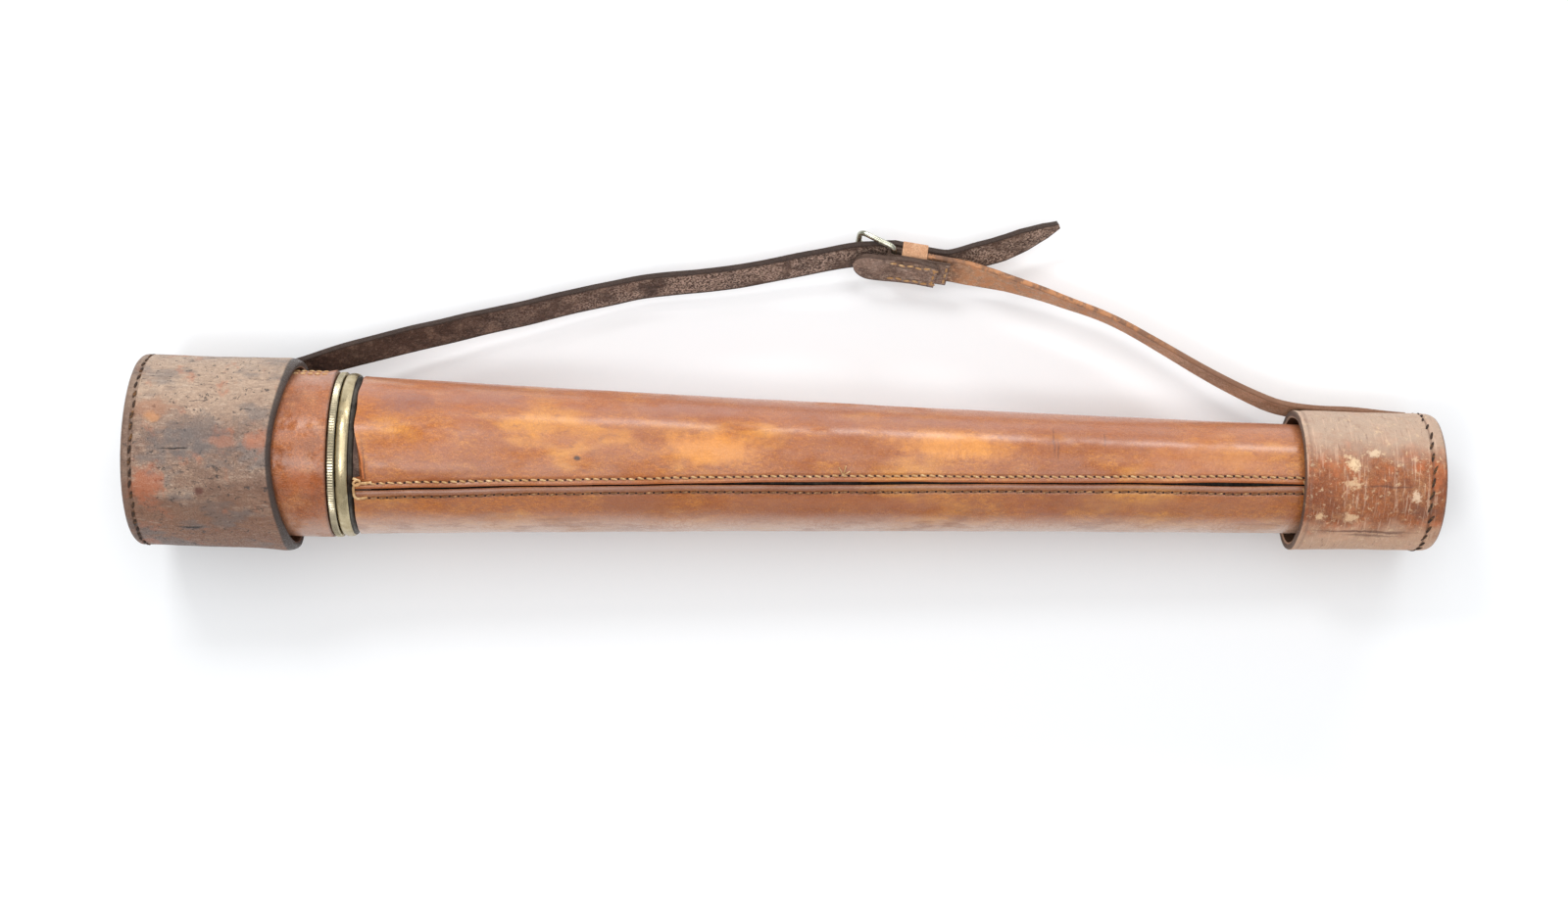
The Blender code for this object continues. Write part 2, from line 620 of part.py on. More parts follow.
clear_scene()
make_objective()
make_sunshade()
make_front_ferrule()
make_body()
make_draw()
make_eyepiece()
make_cap("objective_cap", 0.0, CAP_LENGTH_BIG, CAP_RADIUS_BIG, CAP_WALL_BIG)
make_cap("eyepiece_cap", LENGTH, CAP_MOUTH_SMALL, CAP_RADIUS_SMALL, CAP_WALL_SMALL)
make_sling()
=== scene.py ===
import math
import random

import bmesh
import bpy
from mathutils import Matrix, Vector, noise


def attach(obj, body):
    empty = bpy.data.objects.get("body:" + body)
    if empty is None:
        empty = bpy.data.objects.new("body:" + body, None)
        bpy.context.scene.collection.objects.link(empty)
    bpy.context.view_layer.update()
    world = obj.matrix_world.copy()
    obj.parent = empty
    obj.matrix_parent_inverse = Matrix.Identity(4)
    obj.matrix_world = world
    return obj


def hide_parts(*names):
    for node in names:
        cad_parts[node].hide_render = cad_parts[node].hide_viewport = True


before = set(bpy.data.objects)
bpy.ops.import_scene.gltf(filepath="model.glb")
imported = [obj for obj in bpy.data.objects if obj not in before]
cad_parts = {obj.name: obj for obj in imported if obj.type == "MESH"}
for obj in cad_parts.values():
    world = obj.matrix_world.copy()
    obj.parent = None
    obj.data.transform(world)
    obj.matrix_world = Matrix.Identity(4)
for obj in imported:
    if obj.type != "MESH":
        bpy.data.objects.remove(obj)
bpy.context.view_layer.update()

# A leather-covered hand telescope, closed, in its two leather end caps with their buckled sling.
# Lengths are in metres. +X runs from the objective cap to the eyepiece cap, the sling stands off
# on the +Y side, and +Z is up. Angles round the tube are taken from straight up toward +Y.
scene = bpy.context.scene
MM = 0.001

# ---- table, light and camera ------------------------------------------------------------------
# The telescope lies on its two caps on a pale table, which slopes in the telescope's own frame as
# the caps differ in size. A broad soft light hangs over it, a long one stands low beyond the
# sling, and two small ones light the objective cap's end.
TABLE_SLOPE = 0.0226
TABLE_LEVEL = -0.0395
TABLE_CONTACT = 0.0635
TABLE_SIZE = 5.0
FILL = 0.57                     # light from all round, and how bright the backdrop looks
BACKDROP = 0.97

bm = bmesh.new()
bmesh.ops.create_grid(bm, x_segments=2, y_segments=2, size=TABLE_SIZE)
for v in bm.verts:
    v.co.z = TABLE_LEVEL + (v.co.x - TABLE_CONTACT) * TABLE_SLOPE
mesh = bpy.data.meshes.new("table")
bm.to_mesh(mesh)
bm.free()
table = bpy.data.objects.new("table", mesh)
scene.collection.objects.link(table)
paper = bpy.data.materials.new("table_paper")
paper.use_nodes = True
paper.node_tree.nodes["Principled BSDF"].inputs["Base Color"].default_value = (0.868, 0.886, 0.905, 1)
paper.node_tree.nodes["Principled BSDF"].inputs["Roughness"].default_value = 0.85
paper.node_tree.nodes["Principled BSDF"].inputs["Specular IOR Level"].default_value = 0.15
mesh.materials.append(paper)

world = bpy.data.worlds.new("studio")
scene.world = world
world.use_nodes = True
backdrop = world.node_tree.nodes["Background"]
backdrop.inputs["Color"].default_value = (1.0, 1.0, 1.0, 1)
seen = world.node_tree.nodes.new("ShaderNodeLightPath")
strength = world.node_tree.nodes.new("ShaderNodeMapRange")
strength.inputs["To Min"].default_value = FILL
strength.inputs["To Max"].default_value = BACKDROP
world.node_tree.links.new(seen.outputs["Is Camera Ray"], strength.inputs["Value"])
world.node_tree.links.new(strength.outputs["Result"], backdrop.inputs["Strength"])


def soft_light(name, place, aim, width, height, power):
    """A rectangular softbox that faces the aim point."""
    lamp = bpy.data.lights.new(name, "AREA")
    lamp.shape = "RECTANGLE"
    lamp.size, lamp.size_y, lamp.energy = width, height, power
    box = bpy.data.objects.new(name, lamp)
    box.location = place
    box.rotation_euler = (Vector(aim) - Vector(place)).to_track_quat("-Z", "Y").to_euler()
    box.visible_camera = False
    scene.collection.objects.link(box)


soft_light("overhead", (0.27, 0.15, 1.6), (0.27, 0.0, 0.0), 1.7, 1.7, 12.5)
soft_light("window", (0.62, 1.28, 0.57), (0.38, 0.0, 0.0), 1.0, 0.15, 7.0)
soft_light("left_window", (-0.20, 0.85, 1.0), (0.08, 0.0, 0.0), 0.42, 0.22, 4.6)
soft_light("left_lamp", (-0.23, -0.37, 1.5), (0.08, 0.0, 0.0), 0.4, 0.26, 3.6)

CAMERA_HEIGHT = 1.025
CAMERA_OVER = Vector((0.2668, 0.0043, 0.0))
CAMERA_ROLL = math.radians(1.48)
away = Vector((-TABLE_SLOPE, 0.0, 1.0)).normalized()
right = Vector((math.cos(CAMERA_ROLL), math.sin(CAMERA_ROLL), 0.0))
right = (right - away * right.dot(away)).normalized()
eye = bpy.data.cameras.new("camera")
eye.sensor_width, eye.lens = 36.0, 56.25
camera = bpy.data.objects.new("camera", eye)
camera.matrix_world = (Matrix.Translation(CAMERA_OVER + away * CAMERA_HEIGHT)
                       @ Matrix((right, away.cross(right), away)).transposed().to_4x4())
scene.collection.objects.link(camera)
scene.camera = camera
scene.view_settings.view_transform = "Standard"

# ---- objective cap ----------------------------------------------------------------------------
# A stiff cap of thick saddle leather: a wall rolled and closed round an end disc that is let in
# and sewn through the wall. Its mouth is rounded, burnished dark and a little sprung open.
CAP_RADIUS_BIG = 0.0395
CAP_WALL_BIG = 0.0042
CAP_MOUTH_BIG = 0.0635
CAP_STITCH_IN = 0.0040
CAP_DISC = 0.0042
LENGTH = 0.537


def srgb(red, green, blue):
    """A colour given as 0 to 255 on a screen, as the shader wants it."""
    parts = [c / 255 for c in (red, green, blue)]
    return tuple(c / 12.92 if c <= 0.04045 else ((c + 0.055) / 1.055) ** 2.4 for c in parts) + (1.0,)


def add(tree, kind, inputs=None, **settings):
    """A shader node with its settings made and its inputs set or linked."""
    made = tree.nodes.new("ShaderNode" + kind)
    for key, value in settings.items():
        setattr(made, key, value)
    for key, value in (inputs or {}).items():
        if isinstance(value, bpy.types.NodeSocket):
            tree.links.new(value, made.inputs[key])
        else:
            made.inputs[key].default_value = value
    return made


def reckon(tree, operation, *values):
    """One Math node."""
    return add(tree, "Math", dict(enumerate(values)), operation=operation).outputs[0]


def ranged(tree, value, low, high, to_low=0.0, to_high=1.0):
    """A value eased from one range to another, and held at its ends."""
    return add(tree, "MapRange", {"Value": value, "From Min": low, "From Max": high,
                                  "To Min": to_low, "To Max": to_high},
               interpolation_type="SMOOTHSTEP").outputs["Result"]


def bump_mask(tree, value, centre, half):
    """1 where the value is at the centre, easing to 0 at half a width on either side."""
    away = reckon(tree, "ABSOLUTE", reckon(tree, "SUBTRACT", value, centre))
    return ranged(tree, away, half, 0.0)


def mixed(tree, share, first, second):
    """The first colour, or the second where the share is 1."""
    return add(tree, "Mix", {0: share, 6: first, 7: second}, data_type="RGBA").outputs[2]


def new_group(name, inputs, outputs):
    """A shader node group with named sockets: the tree and its two ends."""
    tree = bpy.data.node_groups.new(name, "ShaderNodeTree")
    for label, kind, value in inputs:
        socket = tree.interface.new_socket(label, in_out="INPUT", socket_type="NodeSocket" + kind)
        if value is not None:
            socket.default_value = value
    for label, kind in outputs:
        tree.interface.new_socket(label, in_out="OUTPUT", socket_type="NodeSocket" + kind)
    return tree, tree.nodes.new("NodeGroupInput").outputs, tree.nodes.new("NodeGroupOutput").inputs


def warped(tree, place, scale, reach):
    """A place pushed about by noise, up to the reach in metres."""
    push = add(tree, "TexNoise", {"Vector": place, "Scale": scale, "Detail": 2.0}).outputs["Color"]
    push = add(tree, "VectorMath", {0: push, 1: (0.5, 0.5, 0.5)}, operation="SUBTRACT").outputs[0]
    push = add(tree, "VectorMath", {0: push, "Scale": reach}, operation="SCALE").outputs[0]
    return add(tree, "VectorMath", {0: place, 1: push}).outputs[0]


# Grain of a tanned hide: small plates parted by creases, with pores and fuzz over them.
hide_grain, gi, go = new_group(
    "hide_grain", [("Vector", "Vector", None), ("Cells", "Float", 900.0)],
    [("Height", "Float"), ("Crease", "Float")])
bent = warped(hide_grain, gi["Vector"], 420.0, 0.0016)
plates = add(hide_grain, "TexVoronoi", {"Vector": bent, "Scale": gi["Cells"]},
             feature="DISTANCE_TO_EDGE").outputs["Distance"]
plates = ranged(hide_grain, plates, 0.0, 0.22)
finer = add(hide_grain, "TexVoronoi", {
    "Vector": bent, "Scale": reckon(hide_grain, "MULTIPLY", gi["Cells"], 2.3)},
    feature="DISTANCE_TO_EDGE").outputs["Distance"]
finer = ranged(hide_grain, finer, 0.0, 0.25)
fuzz = add(hide_grain, "TexNoise", {
    "Vector": gi["Vector"], "Scale": reckon(hide_grain, "MULTIPLY", gi["Cells"], 1.7),
    "Detail": 4.0, "Roughness": 0.65}).outputs["Fac"]
height = reckon(hide_grain, "MULTIPLY_ADD", plates, 0.45,
                reckon(hide_grain, "MULTIPLY_ADD", finer, 0.25,
                       reckon(hide_grain, "MULTIPLY", fuzz, 0.5)))
hide_grain.links.new(height, go["Height"])
hide_grain.links.new(reckon(hide_grain, "SUBTRACT", 1.0, plates), go["Crease"])

# Mottling of an old hide: three tones that drift into each other.
mottle, gi, go = new_group(
    "mottle", [("Vector", "Vector", None), ("Scale", "Float", 40.0), ("Dark", "Color", None),
               ("Mid", "Color", None), ("Light", "Color", None)],
    [("Colour", "Color")])
broad = add(mottle, "TexNoise", {"Vector": gi["Vector"], "Scale": gi["Scale"], "Detail": 7.0,
                                 "Roughness": 0.62, "Distortion": 0.35}).outputs["Fac"]
shifted = add(mottle, "VectorMath", {0: gi["Vector"], 1: (0.31, 0.17, 0.23)}).outputs[0]
narrow = add(mottle, "TexNoise", {
    "Vector": shifted, "Scale": reckon(mottle, "MULTIPLY", gi["Scale"], 2.4), "Detail": 7.0,
    "Roughness": 0.68}).outputs["Fac"]
light_mask = ranged(mottle, narrow, 0.47, 0.72)
tone = mixed(mottle, ranged(mottle, broad, 0.34, 0.60), gi["Dark"], gi["Mid"])
mottle.links.new(mixed(mottle, light_mask, tone, gi["Light"]), go["Colour"])

# One stain, crease or scuff of a given size at a given place, with a ragged edge.
stain, gi, go = new_group(
    "stain", [("Vector", "Vector", None), ("Centre", "Vector", None),
              ("Size", "Vector", (0.01, 0.01, 0.01)), ("Ragged", "Float", 0.6),
              ("Grit", "Float", 170.0)], [("Mask", "Float")])
wandering = warped(stain, gi["Vector"], 150.0, 0.0022)
away_from = add(stain, "VectorMath", {0: wandering, 1: gi["Centre"]},
                operation="SUBTRACT").outputs[0]
away_from = add(stain, "VectorMath", {0: away_from, 1: gi["Size"]}, operation="DIVIDE").outputs[0]
rough_edge = add(stain, "TexNoise", {"Vector": gi["Vector"], "Scale": gi["Grit"], "Detail": 5.0,
                                     "Roughness": 0.7}).outputs["Fac"]
reach = reckon(stain, "MULTIPLY_ADD", reckon(stain, "SUBTRACT", rough_edge, 0.5), gi["Ragged"],
               add(stain, "VectorMath", {0: away_from}, operation="LENGTH").outputs["Value"])
stain.links.new(ranged(stain, reach, 0.25, 1.0, 1.0, 0.0), go["Mask"])

# Scattered marks: specks, scuffs or scratches, long or short as the stretch makes them.
marks, gi, go = new_group(
    "marks", [("Vector", "Vector", None), ("Stretch", "Vector", (1.0, 1.0, 1.0)),
              ("Scale", "Float", 200.0), ("Threshold", "Float", 0.7), ("Softness", "Float", 0.06)],
    [("Mask", "Float")])
drawn = add(marks, "VectorMath", {0: gi["Vector"], 1: gi["Stretch"]}, operation="MULTIPLY").outputs[0]
spots = add(marks, "TexNoise", {"Vector": drawn, "Scale": gi["Scale"], "Detail": 3.0,
                                "Roughness": 0.68}).outputs["Fac"]
marks.links.new(ranged(marks, spots, gi["Threshold"],
                       reckon(marks, "ADD", gi["Threshold"], gi["Softness"])), go["Mask"])

# Crackle of an old hide: thin lines that wander and meet.
wrinkles, gi, go = new_group(
    "wrinkles", [("Vector", "Vector", None), ("Scale", "Float", 520.0),
                 ("Stretch", "Vector", (1.0, 0.4, 0.4))], [("Line", "Float")])
rippled = warped(wrinkles, warped(wrinkles, gi["Vector"], 260.0, 0.0020), 60.0, 0.006)
rippled = add(wrinkles, "VectorMath", {0: rippled, 1: gi["Stretch"]},
              operation="MULTIPLY").outputs[0]
cracks = add(wrinkles, "TexVoronoi", {"Vector": rippled, "Scale": gi["Scale"]},
             feature="DISTANCE_TO_EDGE").outputs["Distance"]
wrinkles.links.new(ranged(wrinkles, cracks, 0.13, 0.0), go["Line"])


class Finish:
    """A material while it is mixed: its colour, roughness and height so far."""

    def __init__(self, name, **constants):
        self.material = bpy.data.materials.new(name)
        self.material.use_nodes = True
        self.tree = self.material.node_tree
        self.shader = self.tree.nodes["Principled BSDF"]
        for socket, value in constants.items():
            self.shader.inputs[socket.replace("_", " ")].default_value = value
        self.place = add(self.tree, "TexCoord").outputs["Object"]
        self.colour = self.rough = self.height = None

    def use(self, group, output, **inputs):
        """An output of a shared group, placed on this piece."""
        made = self.tree.nodes.new("ShaderNodeGroup")
        made.node_tree = group
        inputs.setdefault("Vector", self.place)
        for key, value in inputs.items():
            if isinstance(value, bpy.types.NodeSocket):
                self.tree.links.new(value, made.inputs[key])
            else:
                made.inputs[key].default_value = value
        return made.outputs[output]

    def attribute(self, name):
        return add(self.tree, "Attribute", attribute_name=name).outputs["Fac"]

    def coordinate(self, axis):
        return add(self.tree, "SeparateXYZ", {0: self.place}).outputs[axis]

    def tint(self, colour, mask, share=1.0):
        """Lay a colour over the finish where the mask is."""
        mask = reckon(self.tree, "MULTIPLY", mask, share)
        self.colour = mixed(self.tree, mask, self.colour, colour)

    def scatter(self, colour, share, scale, threshold, softness, stretch=(1.0, 1.0, 1.0)):
        """Lay a colour over scattered spots, scuffs or scratches."""
        self.tint(colour, self.use(marks, "Mask", Stretch=stretch, Scale=scale,
                                   Threshold=threshold, Softness=softness), share)

    def ripple(self, colour, share, scale, depth, drawn):
        """Fine wavy wrinkles of the grain: darker in their hollows."""
        waved = warped(self.tree, self.place, 170.0, 0.003)
        mask = self.use(marks, "Mask", Vector=waved, Stretch=drawn, Scale=scale, Threshold=0.40,
                        Softness=0.20)
        self.tint(colour, mask, share)
        self.raise_by(mask, -depth)

    def gloss(self, mask, share):
        """A coat of glaze where the mask is."""
        coat = reckon(self.tree, "MULTIPLY", mask, share)
        self.tree.links.new(coat, self.shader.inputs["Coat Weight"])

    def polish(self, mask, change):
        """Add a change of roughness where the mask is."""
        self.rough = reckon(self.tree, "MULTIPLY_ADD", mask, change, self.rough)

    def raise_by(self, mask, change):
        """Raise the surface, or lower it, where the mask is."""
        self.height = reckon(self.tree, "MULTIPLY_ADD", mask, change, self.height)

    def spot(self, colour, centre, size, share=0.7, ragged=0.8, dip=0.0, grit=170.0):
        """One stain or scuff at a given place."""
        mask = self.use(stain, "Mask", Centre=centre, Size=size, Ragged=ragged, Grit=grit)
        self.tint(colour, mask, share)
        if dip:
            self.raise_by(mask, -dip)

    def close(self, depth):
        """Join what was mixed to the shader, with the relief this deep in metres."""
        self.tree.links.new(self.colour, self.shader.inputs["Base Color"])
        self.tree.links.new(ranged(self.tree, self.rough, 0.0, 1.0), self.shader.inputs["Roughness"])
        relief = add(self.tree, "Bump", {"Height": self.height, "Distance": depth, "Strength": 1.0})
        self.tree.links.new(relief.outputs["Normal"], self.shader.inputs["Normal"])
        return self.material


def shade(colour, by):
    """A colour made lighter or darker by a factor."""
    return tuple(min(1.0, c * by) for c in colour[:3]) + (1.0,)


def hide(name, dark, mid, light, patches, cells, rough, flecks=0.4, glints=0.3,
         drawn=(1.0, 1.0, 1.0), **constants):
    """The start of every leather: mottled colour, grain, darker creases and flecks."""
    made = Finish(name, **constants)
    streaked = add(made.tree, "VectorMath", {0: made.place, 1: drawn}, operation="MULTIPLY").outputs[0]
    made.colour = made.use(mottle, "Colour", Vector=streaked, Scale=patches, Dark=dark, Mid=mid,
                           Light=light)
    made.height = made.use(hide_grain, "Height", Cells=cells)
    crease = made.use(hide_grain, "Crease", Cells=cells)
    made.tint(shade(dark, 0.45), crease, 0.30)
    made.scatter(shade(dark, 0.55), flecks, cells * 0.75, 0.52, 0.13)
    made.scatter(shade(light, 1.25), glints, cells * 1.15, 0.54, 0.12)
    made.rough = reckon(made.tree, "MULTIPLY_ADD", crease, 0.2, rough)
    return made


def outline(*points):
    """The rings of points that a turned section passes through, as a new bmesh."""
    made = bmesh.new()
    verts = [made.verts.new((x, 0.0, r)) for x, r in points]
    edges = [made.edges.new(pair) for pair in zip(verts, verts[1:])]
    if points[0][1] > 0:
        edges.append(made.edges.new((verts[-1], verts[0])))
    return made, verts + edges


def turned(points, steps):
    """Spin a section of (x, radius) points all the way round the tube's axis."""
    made, section = outline(*points)
    bmesh.ops.spin(made, geom=section, cent=(0, 0, 0), axis=(1, 0, 0), dvec=(0, 0, 0),
                   angle=2 * math.pi, steps=steps, use_merge=True, use_duplicate=False)
    bmesh.ops.remove_doubles(made, verts=made.verts, dist=1e-6)
    bmesh.ops.recalc_face_normals(made, faces=made.faces)
    return made


def arc(x, r, reach_x, reach_r, first, last, count):
    """Points of a quarter round or other arc in a section, by angle from +X toward outward."""
    return [(x + reach_x * math.cos(math.radians(first + (last - first) * i / count)),
             r + reach_r * math.sin(math.radians(first + (last - first) * i / count)))
            for i in range(count + 1)]


def place_piece(name, made, body, materials, replaces=(), sharp=38.0):
    """Turn a bmesh into a finished piece that rides on its body."""
    shape = bpy.data.meshes.new(name)
    made.to_mesh(shape)
    made.free()
    for item in materials:
        shape.materials.append(item)
    shape.shade_smooth()
    shape.set_sharp_from_angle(angle=math.radians(sharp))
    thing = bpy.data.objects.new(name, shape)
    scene.collection.objects.link(thing)
    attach(thing, body)
    if replaces:
        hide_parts(*replaces)
    return thing


def angle_of(co):
    """How far round the tube a point is, from straight up toward +Y."""
    return math.atan2(co.y, co.z)


def move_out(v, by):
    """Move a vertex away from the tube's axis."""
    out = Vector((0.0, v.co.y, v.co.z))
    if out.length > 1e-5:
        v.co += out.normalized() * by


def bump_at(value, centre, half):
    """1 at the centre, easing to 0 at half a width on either side."""
    t = abs(value - centre) / half
    return 0.0 if t >= 1 else 0.5 + 0.5 * math.cos(math.pi * t)


def stitch(made, place, along, out, length, width, tall):
    """One stitch of thread, lying along one way and standing out another."""
    side = out.cross(along).normalized()
    along = side.cross(out).normalized()
    turn = Matrix((along * length / 2, side * width / 2, out.normalized() * tall / 2))
    turn = turn.transposed().to_4x4()
    turn.translation = place
    bmesh.ops.create_uvsphere(made, u_segments=8, v_segments=5, radius=1.0, matrix=turn)


def cap_wall(x_end, x_mouth, radius, wall, lip, lip_drop, sewn, shoulder):
    """The section of a cap's wall, from its closed end's inner corner round by the outside."""
    way = math.copysign(1.0, x_mouth - x_end)
    length = abs(x_mouth - x_end)
    points = [(0.0006, radius - wall), (0.0, radius - wall + 0.0008)]
    points += [(shoulder - shoulder * math.cos(a), radius - 0.0021 + 0.0021 * math.sin(a))
               for a in (math.radians(d) for d in (10, 30, 50, 70, 90))]
    points += [(sewn - 0.0009, radius), (sewn - 0.0004, radius - 0.0004),
               (sewn + 0.0004, radius - 0.0004), (sewn + 0.0009, radius)]
    plain = int((length - lip - sewn) / 0.0022)
    points += [(sewn + 0.0009 + (length - lip - sewn - 0.0009) * i / plain, radius)
               for i in range(1, plain)]
    points += [(length - lip + lip * math.sin(a), radius - lip_drop * (1 - math.cos(a)))
               for a in (math.radians(d) for d in (0, 18, 36, 54, 72, 86))]
    points += [(length - 0.0001, radius - wall + 0.0011), (length - 0.0006, radius - wall + 0.0002),
               (length - 0.0016, radius - wall)]
    points += [(length * (1 - i / 8), radius - wall) for i in range(1, 8)]
    return [(x_end + way * x, r) for x, r in points]


big_saddle = hide("objective_cap_leather", srgb(124, 94, 78), srgb(168, 136, 114),
                  srgb(196, 170, 148), 34.0, 850.0, 0.46, 0.5, 0.12, (0.6, 1.2, 1.2),
                  Specular_IOR_Level=0.5)
f = big_saddle
# Painted light: the cap is paler and greyer toward +Y, a painted sheen where the window light falls, and
# darker and more orange toward -Y, painted shade.
toward_light = add(f.tree, "SeparateXYZ", {0: warped(f.tree, f.place, 90.0, 0.018)}).outputs["Y"]
f.tint(srgb(188, 164, 142), ranged(f.tree, toward_light, 0.004, 0.030), 0.60)
f.tint(srgb(120, 72, 44), ranged(f.tree, toward_light, -0.008, -0.028), 0.62)
f.scatter(srgb(108, 102, 100), 0.60, 58.0, 0.49, 0.14, (0.7, 1.2, 1.2))
f.scatter(srgb(180, 108, 74), 0.55, 75.0, 0.56, 0.14, (1.2, 1.0, 1.0))
f.ripple(srgb(96, 74, 62), 0.26, 640.0, 0.25, (0.6, 1.3, 1.3))
f.scatter(srgb(214, 194, 176), 0.22, 420.0, 0.56, 0.14, (0.4, 1.5, 1.5))
f.scatter(srgb(44, 38, 38), 0.75, 420.0, 0.60, 0.07, (1.0, 0.9, 0.9))
f.scatter(srgb(46, 36, 34), 0.65, 560.0, 0.62, 0.05, (0.26, 1.3, 1.3))
for centre, size, tone, share in (
        ((0.030, 0.006, 0.039), (0.026, 0.012, 0.02), srgb(96, 88, 86), 0.55),
        ((0.010, -0.014, 0.037), (0.009, 0.011, 0.02), srgb(184, 98, 56), 0.55),
        ((0.012, 0.017, 0.036), (0.010, 0.006, 0.02), srgb(170, 112, 78), 0.4),
        ((0.055, 0.005, 0.039), (0.008, 0.006, 0.02), srgb(184, 114, 80), 0.5),
        ((0.041, 0.004, 0.039), (0.008, 0.003, 0.02), srgb(180, 112, 78), 0.4),
        ((0.034, -0.024, 0.031), (0.026, 0.008, 0.02), srgb(112, 84, 68), 0.4),
        ((0.012, 0.013, 0.037), (0.004, 0.003, 0.02), srgb(200, 140, 88), 0.5)):
    f.spot(tone, centre, size, share, ragged=2.6, grit=150.0)
for centre, size, tone, share in (
        ((0.022, 0.0008, 0.039), (0.0090, 0.0006, 0.01), srgb(34, 26, 24), 0.95),
        ((0.0265, -0.0310, 0.025), (0.0085, 0.0006, 0.01), srgb(34, 26, 24), 0.9),
        ((0.031, -0.0160, 0.036), (0.0022, 0.0024, 0.01), srgb(88, 44, 34), 0.8)):
    f.spot(tone, centre, size, share, ragged=0.9, grit=300.0)
rim = f.attribute("rim")
f.tint(srgb(50, 40, 36), ranged(f.tree, rim, 0.25, 0.75), 0.92)
f.tint(srgb(104, 80, 66),
       ranged(f.tree, f.coordinate("X"), CAP_STITCH_IN + 0.0010, CAP_STITCH_IN - 0.0004), 0.5)
f.polish(ranged(f.tree, rim, 0.3, 0.8), -0.10)
f.close(0.00013)

cap_flesh = hide("cap_lining_leather", srgb(84, 62, 46), srgb(120, 92, 70), srgb(140, 112, 88),
                 60.0, 1500.0, 0.85, Specular_IOR_Level=0.2)
cap_flesh.close(0.0003)


def thread(name, dark, light):
    """Waxed linen thread: two tones along its length, and a fine twist."""
    made = Finish(name, Specular_IOR_Level=0.3)
    made.colour = made.use(mottle, "Colour", Scale=160.0, Dark=dark, Mid=dark, Light=light)
    twist = add(made.tree, "TexWave", {"Vector": made.place, "Scale": 900.0, "Distortion": 2.0},
                bands_direction="DIAGONAL").outputs["Fac"]
    made.height = twist
    made.rough = reckon(made.tree, "MULTIPLY_ADD", twist, 0.1, 0.65)
    return made.close(0.0001)


dark_thread = thread("dark_thread", srgb(54, 40, 33), srgb(128, 88, 50))
cream_thread = thread("cream_thread", srgb(188, 146, 100), srgb(236, 206, 160))
brown_thread = thread("brown_thread", srgb(112, 76, 50), srgb(196, 150, 106))


def line_with_flesh(made, radius):
    """Give the inside of a cap its rough flesh-side leather."""
    for face in made.faces:
        centre = face.calc_center_median()
        if math.hypot(centre.y, centre.z) < radius:
            face.material_index = 1


def settle_cap(made, x_end, x_mouth, radius, wall, lip, springs, scoop):
    """Dents all over a cap, its mouth sprung open where the springs say, and cut back on top."""
    rim_layer = made.verts.layers.float.new("rim")
    way = math.copysign(1.0, x_mouth - x_end)
    for v in made.verts:
        along = (v.co.x - x_end) / (x_mouth - x_end)
        a = angle_of(v.co)
        from_mouth = abs(x_mouth - v.co.x)
        skived = max(0.0, 1 - from_mouth / lip)
        inside = math.hypot(v.co.y, v.co.z) < radius - wall + 0.0004
        v[rim_layer] = 0.0 if inside else min(1.0, 1.6 * skived)
        by = 0.00035 * noise.noise(v.co * 38.0) + 0.00012 * noise.noise(v.co * 150.0)
        for direction, half, amount in springs:
            by += amount * bump_at(math.remainder(a - direction, math.tau), 0.0, half) \
                * max(0.0, along) ** 4
        move_out(v, by)
        top = bump_at(a, 0.0, math.radians(62))
        flank = bump_at(abs(a), math.radians(95), math.radians(50))
        v.co.x += way * (-scoop[0] * top * max(0.0, along - 0.3) / 0.7
                         + scoop[1] * flank * skived
                         + 0.0003 * noise.noise(Vector((a * 2.0, 3.0, x_mouth * 90))) * along)


def ring_of_stitches(made, x, radius, count, length, width, tall, slant, wander):
    """Stitches that follow each other round the tube."""
    for i in range(count):
        a = math.tau * i / count
        out = Vector((0.0, math.sin(a), math.cos(a)))
        onward = Vector((slant * (1 if i % 2 else 0.6), math.cos(a), -math.sin(a))).normalized()
        drift = wander * math.sin(i * 1.9) + wander * 0.6 * math.sin(i * 0.7)
        stitch(made, Vector((x + drift, 0, 0)) + out * radius, onward, out, length, width, tall)


made = turned(cap_wall(0.0, CAP_MOUTH_BIG, CAP_RADIUS_BIG, CAP_WALL_BIG, 0.0030, 0.0027,
                       CAP_STITCH_IN, 0.0022), 168)
line_with_flesh(made, CAP_RADIUS_BIG - CAP_WALL_BIG + 0.0004)
settle_cap(made, 0.0, CAP_MOUTH_BIG, CAP_RADIUS_BIG, CAP_WALL_BIG, 0.0030,
           ((math.radians(-95), 0.8, 0.0014), (math.radians(70), 0.5, 0.0006)), (0.0036, 0.0026))
place_piece("objective_cap_wall_leather", made, "objective_cap",
            [big_saddle.material, cap_flesh.material], ["objective_cap_wall"])


def cap_disc(x_end, into, radius):
    """The disc let into a cap's closed end: slightly domed, with eased edges."""
    face = [(0.0002 + 0.0006 * (r / radius) ** 2, r) for r in [radius * i / 9 for i in range(9)]]
    points = face + [(0.0010, radius - 0.0006), (0.0016, radius), (CAP_DISC, radius), (CAP_DISC, 0.0)]
    return [(x_end + into * x, r) for x, r in points]


made = turned(cap_disc(0.0, 1.0, CAP_RADIUS_BIG - CAP_WALL_BIG - 0.0002), 96)
place_piece("objective_cap_disc", made, "objective_cap", [big_saddle.material],
            ["objective_cap_end"])

made = bmesh.new()
ring_of_stitches(made, CAP_STITCH_IN, CAP_RADIUS_BIG - 0.00008, 52, 0.0038, 0.0012, 0.0008,
                 0.26, 0.0003)
place_piece("objective_cap_stitches", made, "objective_cap", [dark_thread])

# ---- sunshade ---------------------------------------------------------------------------------
# A brass tube that slides forward over the objective, in a jacket of tan leather whose two edges
# meet in a sewn butt seam on the sling's side. A beaded brass rim finishes its front.
SHADE_FRONT = 0.0140
SHADE_BACK = 0.0812
SHADE_RADIUS = 0.0344
SHADE_LEATHER = 0.0016
SHADE_SEAM = math.radians(75)

